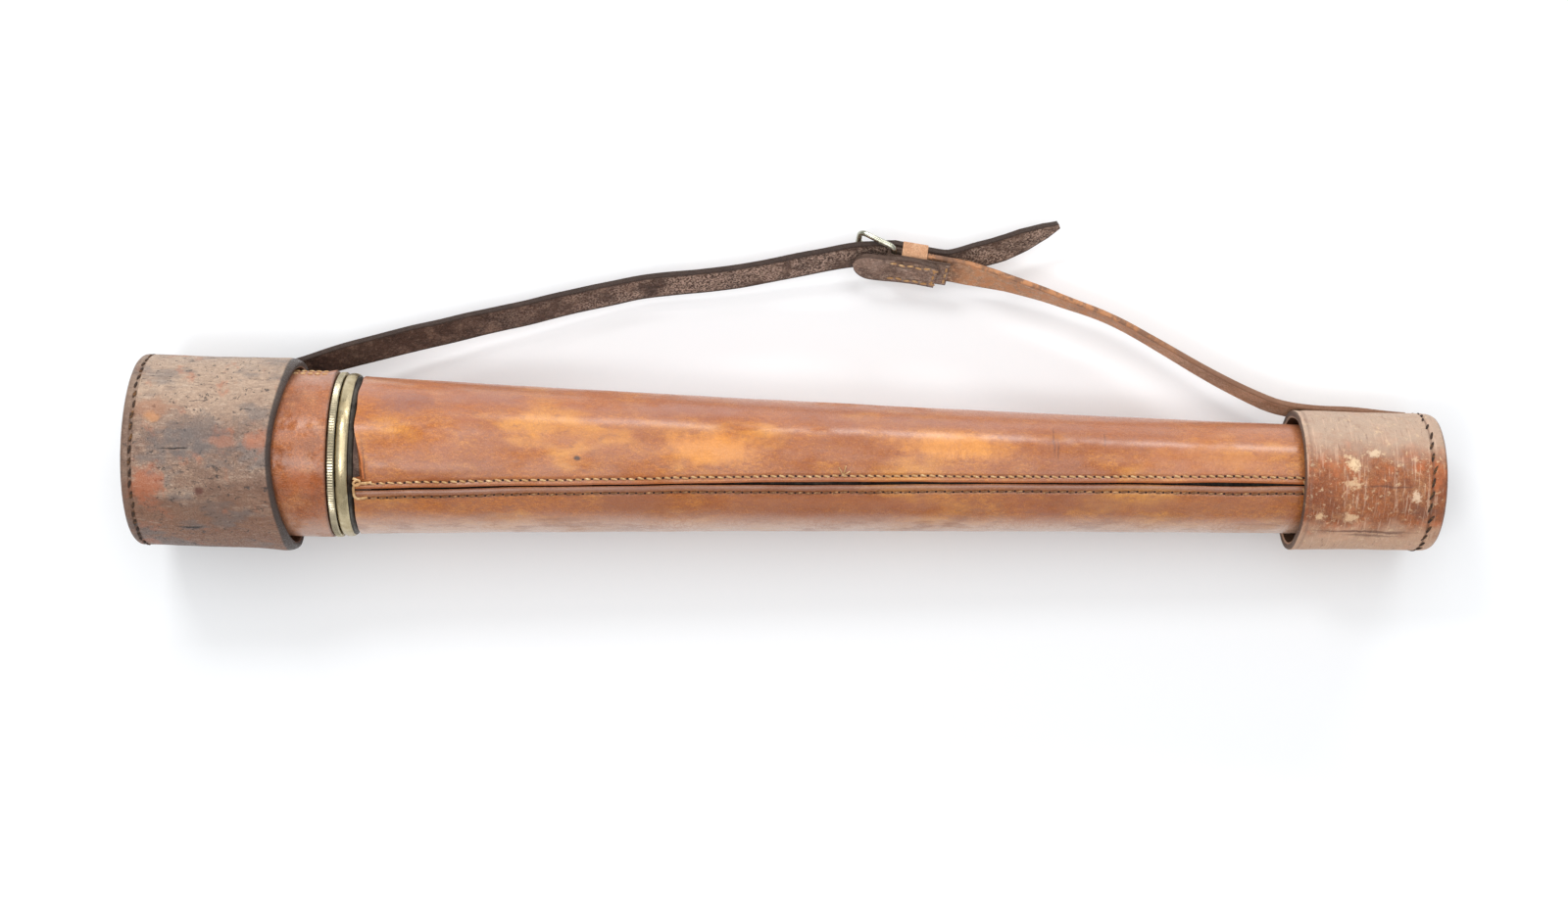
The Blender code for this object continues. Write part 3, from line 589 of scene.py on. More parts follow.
f = shade_tan = hide("sunshade_leather", srgb(158, 82, 36), srgb(186, 108, 54), srgb(204, 134, 80),
                     48.0, 1300.0, 0.40, 0.5, 0.4, Specular_IOR_Level=0.5, Coat_Roughness=0.32)
f.ripple(srgb(136, 80, 50), 0.42, 820.0, 0.6, (0.9, 1.3, 1.3))
f.scatter(srgb(130, 70, 36), 0.50, 110.0, 0.50, 0.16, (0.8, 1.0, 1.0))
f.spot(srgb(170, 84, 24), (0.072, -0.011, 0.033), (0.012, 0.007, 0.02), 0.6, 1.6, grit=200.0)
# Painted reflection: paler toward both sides, where the jacket turns away from above, standing in for
# the sheen of a bright room.
f.tint(srgb(192, 146, 118), ranged(f.tree, f.coordinate("Y"), -0.022, -0.032), 0.5)
f.tint(srgb(180, 128, 104), ranged(f.tree, f.coordinate("Y"), 0.022, 0.032), 0.5)
f.tint(srgb(80, 50, 36),
       ranged(f.tree, f.coordinate("X"), SHADE_BACK - 0.0010, SHADE_BACK - 0.0002), 0.6)
f.raise_by(f.use(marks, "Mask", Scale=700.0, Threshold=0.30, Softness=0.40), 3.6)
f.gloss(f.use(marks, "Mask", Scale=120.0, Threshold=0.36, Softness=0.2), 0.9)
f.close(0.00009)

profile = [(SHADE_FRONT, SHADE_RADIUS - SHADE_LEATHER)]
profile += [(SHADE_FRONT, SHADE_RADIUS - 0.0006), (SHADE_FRONT + 0.0006, SHADE_RADIUS)]
profile += [(SHADE_FRONT + 0.002 + 0.0205 * i, SHADE_RADIUS) for i in range(4)]
profile += arc(SHADE_BACK - 0.0007, SHADE_RADIUS - 0.0007, 0.0007, 0.0007, 90, 0, 4)
profile += [(SHADE_BACK, SHADE_RADIUS - SHADE_LEATHER)]
made = turned(profile, 144)
long_edges = [e for e in made.edges if abs(e.verts[0].co.x - e.verts[1].co.x) > 0.015]
bmesh.ops.subdivide_edges(made, edges=long_edges, cuts=7, use_grid_fill=True)
for v in made.verts:
    if math.hypot(v.co.y, v.co.z) < SHADE_RADIUS - SHADE_LEATHER + 0.0003:
        continue
    across = math.remainder(angle_of(v.co) - SHADE_SEAM, math.tau) * SHADE_RADIUS
    by = -0.0007 * bump_at(across, 0.0, 0.0013) + 0.0003 * bump_at(abs(across), 0.0022, 0.0016)
    by += 0.0014 * bump_at(across, 0.0, 0.0100) * max(0.0, 1 - (SHADE_BACK - v.co.x) / 0.006) ** 2
    move_out(v, by + 0.0002 * noise.noise(v.co * 60.0))
place_piece("sunshade_jacket", made, "sunshade", [shade_tan.material],
            ["sunshade_cover"])

made = bmesh.new()
for side in (-1, 1):
    a = SHADE_SEAM + side * 0.0021 / SHADE_RADIUS
    out = Vector((0.0, math.sin(a), math.cos(a)))
    for i in range(21):
        x = SHADE_FRONT + 0.0025 + i * 0.0030
        stitch(made, Vector((x, 0, 0)) + out * (SHADE_RADIUS + 0.0004), Vector((1.0, 0.1, 0.1 * side)),
               out, 0.0026, 0.0011, 0.0009)
place_piece("sunshade_stitches", made, "sunshade", [cream_thread])

# ---- brass fittings ---------------------------------------------------------------------------
# Turned brass, lacquered once and now dull: greenish grey in the hollows, bright where hands and
# leather rub it. The milled collar screws the objective home, and the half-round ring backs it.


def brass(name, dark, mid, bright, rough, scratches=0.35):
    """Old brass, with fine turning lines and stains that dull it."""
    made = Finish(name, Specular_IOR_Level=0.5)
    made.colour = made.use(mottle, "Colour", Scale=90.0, Dark=dark, Mid=mid, Light=bright)
    lines = made.use(marks, "Mask", Stretch=(30.0, 1.0, 1.0), Scale=160.0, Threshold=0.5)
    made.scatter(dark, 0.35, 420.0, 0.56, 0.15)
    made.tint(bright, lines, scratches)
    made.rough = reckon(made.tree, "MULTIPLY_ADD", lines, -0.08, rough)
    made.polish(made.use(marks, "Mask", Scale=110.0, Threshold=0.52), 0.16)
    made.height = add(made.tree, "TexNoise", {"Vector": made.place, "Scale": 1400.0,
                                              "Detail": 3.0}).outputs["Fac"]
    made.shader.inputs["Metallic"].default_value = 1.0
    return made.close(0.00004)


ring_brass = brass("half_round_brass", (0.42, 0.34, 0.20, 1), (0.54, 0.45, 0.28, 1),
                   (0.64, 0.55, 0.36, 1), 0.40, 0.12)
aged_brass = brass("aged_brass", (0.34, 0.30, 0.21, 1), (0.46, 0.40, 0.28, 1),
                   (0.58, 0.51, 0.36, 1), 0.42, 0.2)
clean_brass = brass("draw_brass", (0.30, 0.21, 0.10, 1), (0.62, 0.47, 0.23, 1),
                    (0.80, 0.64, 0.36, 1), 0.24)
wire_metal = brass("buckle_metal", (0.14, 0.14, 0.10, 1), (0.42, 0.42, 0.33, 1),
                   (0.78, 0.77, 0.66, 1), 0.30)
black_brass = brass("blackened_brass", (0.008, 0.008, 0.009, 1), (0.018, 0.017, 0.016, 1),
                    (0.05, 0.043, 0.034, 1), 0.52)

# The dark shoulder behind the bead: partly blackened brass, partly painted shade in the step down to the
# sleeve.
shoulder_black_and_shade = brass("shoulder_black_and_shade", (0.05, 0.045, 0.04, 1), (0.11, 0.10, 0.085, 1),
                     (0.20, 0.18, 0.15, 1), 0.50)

glass = Finish("lens_glass", Roughness=0.02, IOR=1.52, Transmission_Weight=1.0,
               Base_Color=(0.97, 0.99, 0.98, 1), Coat_Weight=0.0).material

OBJECTIVE_RADIUS = 0.0309
COLLAR_RADIUS = 0.0343
COLLAR_FRONT, COLLAR_BACK = 0.0817, 0.0845
MILLING = 184

made = turned([(COLLAR_FRONT, OBJECTIVE_RADIUS + 0.0003), (COLLAR_FRONT, COLLAR_RADIUS - 0.0005),
               (COLLAR_FRONT + 0.0004, COLLAR_RADIUS), (COLLAR_FRONT + 0.0010, COLLAR_RADIUS),
               (COLLAR_BACK - 0.0010, COLLAR_RADIUS), (COLLAR_BACK - 0.0004, COLLAR_RADIUS),
               (COLLAR_BACK, COLLAR_RADIUS - 0.0005), (COLLAR_BACK, OBJECTIVE_RADIUS + 0.0003)],
              2 * MILLING)
for v in made.verts:
    column = round(angle_of(v.co) / math.tau * 2 * MILLING)
    if column % 2 and math.hypot(v.co.y, v.co.z) > COLLAR_RADIUS - 0.0002:
        move_out(v, -0.00034)
place_piece("milled_collar", made, "barrel", [aged_brass], ["knurled_collar"], sharp=20.0)

FERRULE_START, FERRULE_BACK = 0.0848, 0.0918
bead = arc(FERRULE_START + 0.0026, 0.0326, 0.0026, 0.0014, 180, 0, 14)
made = turned([(FERRULE_START, OBJECTIVE_RADIUS + 0.0003)] + bead + [
    (FERRULE_START + 0.0054, 0.0324), (FERRULE_BACK - 0.0004, 0.0319), (FERRULE_BACK, 0.0314),
    (FERRULE_BACK, 0.0290), (FERRULE_BACK + 0.008, 0.0288), (FERRULE_BACK + 0.008, 0.0275),
    (FERRULE_BACK - 0.0024, 0.0275), (FERRULE_BACK - 0.0024, OBJECTIVE_RADIUS + 0.0003)], 160)
# Behind the bead the ring takes the dark finish: blackened brass and painted shade together.
for face in made.faces:
    if face.calc_center_median().x > FERRULE_START + 0.0050:
        face.material_index = 1
place_piece("half_round_ring", made, "barrel", [ring_brass, shoulder_black_and_shade],
            ["front_ferrule"])

BEAD_FRONT, BEAD_BACK, BEAD_INNER = 0.0100, 0.0137, 0.0300
made = turned([(BEAD_FRONT, BEAD_INNER), (BEAD_FRONT, 0.0330)]
              + arc(BEAD_FRONT + 0.0018, 0.0330, 0.0018, 0.0013, 170, 20, 8)
              + [(BEAD_BACK, 0.0332), (BEAD_BACK, BEAD_INNER)], 128)
place_piece("sunshade_bead", made, "sunshade", [aged_brass], ["sunshade_rim"])

# ---- body sleeve ------------------------------------------------------------------------------
# One piece of tan hide, cut to the taper, rolled round the brass body and drawn together by two
# rows of linen stitches beside the gap where its edges meet. Its front edge has shrunk and curled.
BODY_FRONT, BODY_BACK = 0.0921, 0.4878
BODY_RADIUS_FRONT, BODY_RADIUS_BACK = 0.0328, 0.0228
BODY_WAIST = 0.0010


def body_radius(x):
    """Outside radius of the leather-covered body: a taper that hollows a little at mid length."""
    along = (x - BODY_FRONT) / (BODY_BACK - BODY_FRONT)
    straight = BODY_RADIUS_FRONT + (BODY_RADIUS_BACK - BODY_RADIUS_FRONT) * along
    return straight - 4 * BODY_WAIST * along * (1 - along)


def seam_angle(x):
    """Where the sleeve's two edges meet: it wanders from well round the side to near the top."""
    along = (x - BODY_FRONT) / (BODY_BACK - BODY_FRONT)
    wander = 0.6 * noise.noise(Vector((x * 42.0, 0.2, 0.9)))
    return -math.radians(26.2 - 20.4 * along - 1.6 * math.sin(math.pi * along) + wander)


def seam_gap(x):
    """Half the width of the gap between the sleeve's edges."""
    return (0.00030 + 0.00042 * bump_at(x, 0.285, 0.07) + 0.00022 * bump_at(x, 0.12, 0.05)
            + 0.00050 * bump_at(x, 0.452, 0.035)
            + 0.00012 * noise.noise(Vector((x * 60.0, 0.3, 0.7))))


def eased(points, value):
    """A height read from a few (distance, height) points, eased between them."""
    for (d0, h0), (d1, h1) in zip(points, points[1:]):
        if value <= d1:
            t = max(0.0, (value - d0) / (d1 - d0))
            return h0 + (h1 - h0) * t * t * (3 - 2 * t)
    return points[-1][1]


UPPER_LIP = ((0.0, -0.60 * MM), (0.4 * MM, 0.05 * MM), (1.0 * MM, 0.44 * MM), (1.6 * MM, 0.36 * MM),
             (2.3 * MM, -0.18 * MM), (2.9 * MM, -0.20 * MM), (3.8 * MM, 0.06 * MM), (5.6 * MM, 0.0))
LOWER_LIP = ((0.0, -0.70 * MM), (0.5 * MM, -0.15 * MM), (1.2 * MM, 0.12 * MM), (2.0 * MM, 0.10 * MM),
             (2.7 * MM, -0.22 * MM), (3.3 * MM, -0.22 * MM), (4.2 * MM, 0.05 * MM), (6.0 * MM, 0.0))
UPPER_ROW, LOWER_ROW = 2.6 * MM, 3.1 * MM
CURL = ((0.0, 0.0), (3.8 * MM, 0.0), (4.8 * MM, 1.0), (9.0 * MM, 0.85), (27.0 * MM, 0.0))

made = bmesh.new()
bmesh.ops.create_grid(made, x_segments=176, y_segments=132, size=0.5)
lip_layer = made.verts.layers.float.new("lip")
row_layer = made.verts.layers.float.new("row")
side_layer = made.verts.layers.float.new("side")
strip_layer = made.verts.layers.float.new("strip")
fold_layer = made.verts.layers.float.new("fold")
CROWDING = 0.86
for v in made.verts:
    along, t = v.co.x + 0.5, v.co.y + 0.5
    t -= CROWDING * math.sin(math.tau * t) / math.tau
    x = BODY_FRONT + (BODY_BACK - BODY_FRONT) * along ** 1.35
    radius = body_radius(x)
    gap = seam_gap(x)
    round_length = math.tau * radius - 2 * gap
    up, low = t * round_length, (1 - t) * round_length
    a = seam_angle(x) + (gap + up) / radius
    out = Vector((0.0, math.sin(a), math.cos(a)))
    lift = eased(UPPER_LIP, up) + eased(LOWER_LIP, low)
    lift += 0.00022 * noise.noise(Vector((x * 30.0, math.sin(a), math.cos(a))))
    lift += 0.00028 * bump_at(a, math.radians(76), 0.06)
    curl = eased(CURL, up)
    from_front = x - BODY_FRONT
    lift += 0.0010 * curl * max(0.0, 1 - from_front / 0.0045) ** 2
    shift = 0.0042 * curl * max(0.0, 1 - from_front / 0.012) ** 2
    shift += 0.0004 * noise.noise(Vector((a * 4.0, 2.0, 5.0))) * max(0.0, 1 - from_front / 0.006)
    v.co = Vector((x + shift, 0.0, 0.0)) + out * (radius + lift)
    v[lip_layer] = max(bump_at(up, 0.0002, 0.0010), curl * bump_at(from_front, 0.0005, 0.0014))
    v[strip_layer] = bump_at(low, 0.0010, 0.0022)
    v[fold_layer] = curl * bump_at(from_front, 0.0023, 0.0010)
    v[row_layer] = max(bump_at(up, UPPER_ROW, 0.0012), bump_at(low, LOWER_ROW, 0.0012))
    v[side_layer] = math.sin(a)
bmesh.ops.recalc_face_normals(made, faces=made.faces)
outward = sum((f.normal.dot(Vector((0, f.calc_center_median().y, f.calc_center_median().z)))
               for f in made.faces))
if outward < 0:
    bmesh.ops.reverse_faces(made, faces=made.faces)

f = sleeve_tan = hide("sleeve_leather", srgb(156, 83, 31), srgb(191, 112, 41), srgb(208, 134, 55),
                      24.0, 1250.0, 0.38, 0.30, 0.25, (0.8, 1.2, 1.2), Specular_IOR_Level=0.5,
                      Coat_Roughness=0.26)
f.ripple(srgb(148, 80, 44), 0.55, 620.0, 0.6, (0.6, 1.5, 1.5))
f.scatter(srgb(158, 92, 64), 0.5, 52.0, 0.52, 0.2, (0.5, 1.0, 1.0))
f.scatter(srgb(230, 158, 60), 0.55, 40.0, 0.50, 0.2, (0.5, 1.0, 1.0))
f.scatter(srgb(140, 82, 52), 0.42, 300.0, 0.55, 0.12, (0.7, 1.3, 1.3))
side = f.attribute("side")
# Painted reflection: paler and pinker at the -Y side, where the sleeve turns away, as the sheen of a
# bright room.
f.tint(srgb(206, 172, 150), ranged(f.tree, side, -0.66, -0.97), 0.75)
f.tint(srgb(150, 96, 66), f.use(marks, "Mask", Stretch=(0.4, 1.0, 1.0), Scale=130.0, Threshold=0.50,
                                Softness=0.15),
       reckon(f.tree, "MULTIPLY", ranged(f.tree, side, -0.45, -0.9), 0.6))
# Painted highlight: a paler, pinker band toward +Y where the window light's sheen lies.
f.tint(srgb(176, 116, 92), ranged(f.tree, side, 0.50, 0.80), 0.35)
for centre, size, tone, share in (
        ((0.237, 0.006, 0.027), (0.026, 0.009, 0.02), srgb(236, 156, 66), 0.6),
        ((0.335, 0.010, 0.023), (0.036, 0.008, 0.02), srgb(236, 158, 72), 0.6),
        ((0.112, 0.022, 0.024), (0.016, 0.006, 0.02), srgb(134, 84, 74), 0.6),
        ((0.145, 0.024, 0.020), (0.022, 0.004, 0.02), srgb(150, 92, 72), 0.5),
        ((0.215, 0.0215, 0.018), (0.050, 0.0035, 0.02), srgb(160, 104, 84), 0.5),
        ((0.320, 0.0185, 0.017), (0.080, 0.0035, 0.02), srgb(160, 106, 88), 0.45),
        ((0.205, -0.017, 0.024), (0.024, 0.006, 0.02), srgb(150, 86, 48), 0.6),
        ((0.290, -0.014, 0.022), (0.070, 0.004, 0.02), srgb(162, 96, 58), 0.5),
        ((0.420, -0.012, 0.018), (0.060, 0.005, 0.02), srgb(158, 98, 64), 0.5),
        ((0.440, 0.006, 0.022), (0.044, 0.012, 0.02), srgb(180, 108, 66), 0.55)):
    f.spot(tone, centre, size, share, ragged=1.6, grit=110.0)
f.spot(srgb(52, 34, 30), (0.1825, 0.0011, 0.030), (0.0022, 0.0016, 0.01), 0.95, 0.9, dip=1.5,
       grit=500.0)
for centre, size in (((0.3772, 0.0125, 0.0210), (0.0007, 0.0085, 0.02)),
                     ((0.3788, 0.0090, 0.0225), (0.0006, 0.0075, 0.02)),
                     ((0.3980, 0.0140, 0.0190), (0.0006, 0.0040, 0.02))):
    f.spot(srgb(112, 62, 40), centre, size, 0.7, 0.9, dip=1.2, grit=400.0)
line = f.use(wrinkles, "Line")
patchy = f.use(marks, "Mask", Scale=30.0, Threshold=0.40, Softness=0.25)
line = reckon(f.tree, "MULTIPLY", line, patchy)
f.tint(srgb(164, 96, 52), line, 0.42)
f.raise_by(line, -0.45)
f.polish(f.use(marks, "Mask", Scale=90.0, Threshold=0.45, Softness=0.2), 0.14)
f.tint(srgb(132, 94, 78), f.attribute("strip"), 0.7)
f.tint(srgb(196, 104, 48), f.attribute("lip"), 0.85)
f.tint(srgb(84, 40, 22), f.attribute("fold"), 0.85)
f.tint(srgb(134, 80, 50), f.attribute("row"), 0.6)
f.raise_by(f.use(marks, "Mask", Scale=560.0, Threshold=0.30, Softness=0.40), 2.4)
f.gloss(f.use(marks, "Mask", Stretch=(0.4, 1.0, 1.0), Scale=60.0, Threshold=0.30, Softness=0.25), 1.0)
f.close(0.00008)

cut_edge = hide("sleeve_cut_edge", srgb(88, 48, 28), srgb(150, 84, 44), srgb(196, 118, 66), 120.0,
                1600.0, 0.7, Specular_IOR_Level=0.25)
cut_edge.close(0.0002)

sleeve = place_piece("body_sleeve_leather", made, "barrel", [sleeve_tan.material, cut_edge.material],
                     ["body_sleeve"])
wall = sleeve.modifiers.new("hide_thickness", "SOLIDIFY")
wall.thickness, wall.offset = 0.0015, -1.0
wall.material_offset_rim = 1
wall.use_quality_normals = True
round_over = sleeve.modifiers.new("eased_edges", "BEVEL")
round_over.width, round_over.segments = 0.0003, 2
round_over.limit_method, round_over.angle_limit = "ANGLE", math.radians(60)
round_over.material = 0


def on_sleeve(x, across, lift=0.0):
    """A point by the seam, this far across from the middle of its gap toward +Y, and its way out."""
    a = seam_angle(x) + across / body_radius(x)
    out = Vector((0.0, math.sin(a), math.cos(a)))
    return Vector((x, 0, 0)) + out * (body_radius(x) + lift), out


# The seam's two rows: cream stitches beside the raised upper lip, and darker waxed ones below.
STITCH_PITCH = 0.0036
random.seed(7)
upper, lower, holes = bmesh.new(), bmesh.new(), bmesh.new()
count = int((BODY_BACK - BODY_FRONT - 0.006) / STITCH_PITCH)
for i in range(count):
    x = BODY_FRONT + 0.0045 + i * STITCH_PITCH
    for row, across, slant, lift in ((upper, UPPER_ROW, 0.26, 0.00004),
                                     (lower, -LOWER_ROW, -0.2, 0.00006)):
        across += random.uniform(-0.2, 0.2) * MM + math.copysign(seam_gap(x), across)
        place, out = on_sleeve(x, across, lift)
        side = Vector((1, 0, 0)).cross(out)
        onward = Vector((1, 0, 0)) + side * (slant + random.uniform(-0.1, 0.1))
        stitch(row, place, onward, out, 0.0029 + random.uniform(-0.3, 0.2) * MM, 0.00095, 0.0008)
        place, out = on_sleeve(x + STITCH_PITCH / 2, across, -0.00012)
        stitch(holes, place, Vector((1, 0, 0)) + side * slant, out, 0.0011, 0.0010, 0.0003)
# The needle holes are dark sunk marks: painted shade standing in for the shadow inside each hole.
pit = hide("needle_holes", srgb(38, 24, 17), srgb(58, 36, 24), srgb(70, 44, 30), 300.0, 2000.0, 0.8)
pit.close(0.0001)
place_piece("seam_stitches_upper", upper, "barrel", [cream_thread])
place_piece("seam_stitches_lower", lower, "barrel", [brown_thread])
place_piece("seam_needle_holes", holes, "barrel", [pit.material])

# Under the curled front edge a strip of grey-brown leather lines the sleeve.
f = lining = hide("sleeve_lining_leather", srgb(70, 52, 46), srgb(112, 88, 78), srgb(140, 114, 100),
                  80.0, 1500.0, 0.7, Specular_IOR_Level=0.3)
f.close(0.0003)
made = turned([(0.0920, 0.0308), (0.0920, 0.0315), (0.0926, 0.0318), (0.0965, 0.0317),
               (0.0990, 0.0309)], 128)
place_piece("sleeve_lining", made, "barrel", [lining.material])


def bent_round(name, points, radius, roundness, kind, closed=False):
    """A round thread or wire bent through the points, as a new bmesh."""
    curve = bpy.data.curves.new(name + "_line", "CURVE")
    curve.dimensions = "3D"
    curve.bevel_depth, curve.bevel_resolution, curve.use_fill_caps = radius, roundness, True
    spline = curve.splines.new(kind)
    spline.points.add(len(points) - 1)
    for point, co in zip(spline.points, points):
        point.co = (*co, 1.0)
    spline.use_cyclic_u = closed
    if kind == "NURBS":
        spline.use_endpoint_u, spline.order_u, spline.resolution_u = True, 3, 6
    drawn = bpy.data.objects.new(name + "_line", curve)
    scene.collection.objects.link(drawn)
    bpy.context.view_layer.update()
    made = bmesh.new()
    made.from_mesh(drawn.to_mesh())
    drawn.to_mesh_clear()
    bpy.data.objects.remove(drawn)
    bmesh.ops.remove_doubles(made, verts=made.verts, dist=1e-6)
    return made


def loose_thread(name, points, thick):
    """A loose end of the seam's thread."""
    made = bent_round(name, points, thick / 2, 2, "NURBS")
    place_piece(name, made, "barrel", [cream_thread])


def by_seam(x, points):
    """A thread's points, given in millimetres along, across and out from a place on the seam."""
    return [on_sleeve(x + a * MM, b * MM, c * MM)[0] for a, b, c in points]


loose_thread("seam_thread_end", by_seam(BODY_FRONT, (
    (7.5, 3.6, 0.2), (5.0, 3.5, 0.6), (2.6, 3.4, 0.7), (0.9, 3.0, 0.9), (0.2, 1.6, 0.7),
    (0.3, -0.6, 0.5), (0.4, -2.4, 0.7), (1.6, -3.4, 0.8), (3.4, -3.3, 0.5), (5.5, -3.2, 0.1))), 0.0011)
loose_thread("seam_thread_knot", by_seam(BODY_FRONT, (
    (3.0, 4.6, 0.4), (1.5, 4.9, 1.0), (0.2, 3.9, 1.3), (0.9, 2.7, 1.5), (2.6, 2.9, 1.2),
    (3.2, 4.0, 0.9), (2.2, 5.0, 1.1), (0.2, 5.6, 0.8))), 0.0010)
for n, (onward, sideways) in enumerate(((0.4, 1.4), (-0.7, 1.2), (1.0, 0.6))):
    tuft = [(k * onward, 3.6 + k * sideways, 0.3 + 0.9 * k - 0.25 * k * k)
            for k in (0.0, 0.7, 1.4, 2.0, 2.7)]
    loose_thread("seam_thread_tuft_%d" % n, by_seam(0.2905, tuft), 0.0005)
for n, (first, last) in enumerate(((-1.0, -6.5), (2.0, -2.0))):
    tail = [(k * 0.4, first + (last - first) * k / 4, 0.5) for k in range(5)]
    loose_thread("seam_thread_tail_%d" % n, by_seam(0.4800, tail), 0.0006)

# ---- rear of the body, draw tube and eyepiece -------------------------------------------------
# One draw slides out of the body's rear ferrule. It carries the erector inside and the eyepiece's
# milled head behind, whose eye hole a little brass shutter closes.
GUIDE_RADIUS = 0.0192
DRAW_RADIUS, DRAW_WALL = 0.0175, 0.0009
DRAW_FRONT, DRAW_BACK = 0.2453, 0.5050
REAR_RADIUS, REAR_BACK = 0.0249, 0.4985
HEAD_RADIUS, HEAD_BACK = 0.0215, 0.5200
EYE_HOLE = 0.0050

start = BODY_BACK + 0.0003
shoulder = BODY_BACK + 0.0062
made = turned([
    (start, GUIDE_RADIUS + 0.0003), (start, REAR_RADIUS - 0.0008), (start + 0.0008, REAR_RADIUS),
    (start + 0.0024, REAR_RADIUS), (start + 0.0028, REAR_RADIUS - 0.0005),
    (start + 0.0034, REAR_RADIUS - 0.0005), (start + 0.0038, REAR_RADIUS)]
    + arc(REAR_BACK - 0.0022, REAR_RADIUS - 0.0022, 0.0022, 0.0022, 90, 0, 8)
    + [(REAR_BACK, DRAW_RADIUS + 0.0003), (shoulder, DRAW_RADIUS + 0.0003),
       (shoulder, GUIDE_RADIUS + 0.0003)], 128)
place_piece("rear_ferrule_ring", made, "barrel", [aged_brass], ["rear_ferrule"])

made = turned([(DRAW_FRONT, DRAW_RADIUS - DRAW_WALL), (DRAW_FRONT, DRAW_RADIUS)]
              + [(DRAW_FRONT + (DRAW_BACK - DRAW_FRONT) * i / 10, DRAW_RADIUS) for i in range(1, 10)]
              + [(DRAW_BACK - 0.0003, DRAW_RADIUS), (DRAW_BACK, DRAW_RADIUS - 0.0003),
                 (DRAW_BACK, DRAW_RADIUS - DRAW_WALL)], 128)
place_piece("draw_tube_bright", made, "draw", [clean_brass], ["draw_tube"])

start = DRAW_BACK + 0.0007
KNURLS = 96
made = turned([
    (start, EYE_HOLE + 0.0030), (start, HEAD_RADIUS - 0.0008), (start + 0.0008, HEAD_RADIUS),
    (start + 0.0024, HEAD_RADIUS), (start + 0.0046, HEAD_RADIUS), (start + 0.0062, HEAD_RADIUS),
    (start + 0.0070, HEAD_RADIUS - 0.0010), (start + 0.0085, HEAD_RADIUS - 0.0022),
    (start + 0.0102, HEAD_RADIUS - 0.0032), (start + 0.0120, HEAD_RADIUS - 0.0036),
    (HEAD_BACK - 0.0008, HEAD_RADIUS - 0.0037), (HEAD_BACK, HEAD_RADIUS - 0.0046),
    (HEAD_BACK, HEAD_RADIUS - 0.0075), (HEAD_BACK - 0.0006, EYE_HOLE + 0.0060),
    (HEAD_BACK - 0.0006, EYE_HOLE + 0.0010), (HEAD_BACK - 0.0010, EYE_HOLE)], 2 * KNURLS)
for v in made.verts:
    column = round(angle_of(v.co) / math.tau * 2 * KNURLS)
    if column % 2 and math.hypot(v.co.y, v.co.z) > HEAD_RADIUS - 0.0002:
        move_out(v, -0.0005)
place_piece("eyepiece_milled_head", made, "draw", [aged_brass], ["eyepiece_head"],
            sharp=20.0)

for name, material in (
        ("objective_tube", black_brass), ("objective_cell", aged_brass),
        ("lens_retaining_ring", black_brass), ("crown_lens", glass), ("flint_lens", glass),
        ("body_tube", black_brass), ("body_baffle", black_brass), ("draw_guide", clean_brass),
        ("sunshade_tube", clean_brass), ("draw_stop_ring", clean_brass),
        ("erector_tube", black_brass), ("erector_lens_front", glass), ("erector_lens_rear", glass),
        ("erector_stop", black_brass), ("eyepiece_tube", black_brass), ("field_lens", glass),
        ("eye_lens", glass), ("shutter_screw", aged_brass), ("eyepiece_shutter", aged_brass)):
    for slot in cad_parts[name].material_slots:
        slot.material = material

# ---- eyepiece cap -----------------------------------------------------------------------------
# The smaller cap, made like the other: paler along the top and the far side as a painted sheen of light,
# scuffed, with a pair of creased lines beside its mouth and slanting stitches round its closed end.
CAP_RADIUS_SMALL = 0.0288
CAP_WALL_SMALL = 0.0034
CAP_MOUTH_SMALL = 0.4795

f = small_saddle = hide("eyepiece_cap_leather", srgb(138, 72, 37), srgb(169, 99, 55),
                        srgb(190, 135, 92), 44.0, 900.0, 0.48, 0.45, 0.2, Specular_IOR_Level=0.45)
f.ripple(srgb(120, 74, 54), 0.40, 560.0, 0.3, (0.9, 1.2, 1.2))
f.scatter(srgb(192, 106, 60), 0.6, 70.0, 0.50, 0.16)
f.scatter(srgb(112, 74, 60), 0.45, 90.0, 0.56, 0.14)
# Painted light: paler toward +Y where the window light's sheen falls, fading through patches, and paler
# toward -Y as a painted reflection where the cap turns away.
drift = add(f.tree, "SeparateXYZ", {0: warped(f.tree, f.place, 120.0, 0.014)}).outputs["Y"]
f.tint(srgb(188, 166, 146), ranged(f.tree, drift, 0.004, 0.020), 0.8)
f.tint(srgb(166, 130, 108), reckon(f.tree, "MULTIPLY", ranged(f.tree, drift, 0.000, 0.008),
                                   f.use(marks, "Mask", Stretch=(0.9, 1.2, 1.2), Scale=230.0,
                                         Threshold=0.48, Softness=0.22)), 0.45)
f.tint(srgb(214, 178, 150), ranged(f.tree, drift, -0.014, -0.024), 0.65)
f.scatter(srgb(222, 190, 152), 0.55, 380.0, 0.57, 0.12)
f.scatter(srgb(98, 62, 48), 0.35, 420.0, 0.60, 0.08, (2.2, 0.3, 0.4))
f.scatter(srgb(216, 182, 156), 0.40, 420.0, 0.55, 0.10, (2.2, 0.16, 0.2))
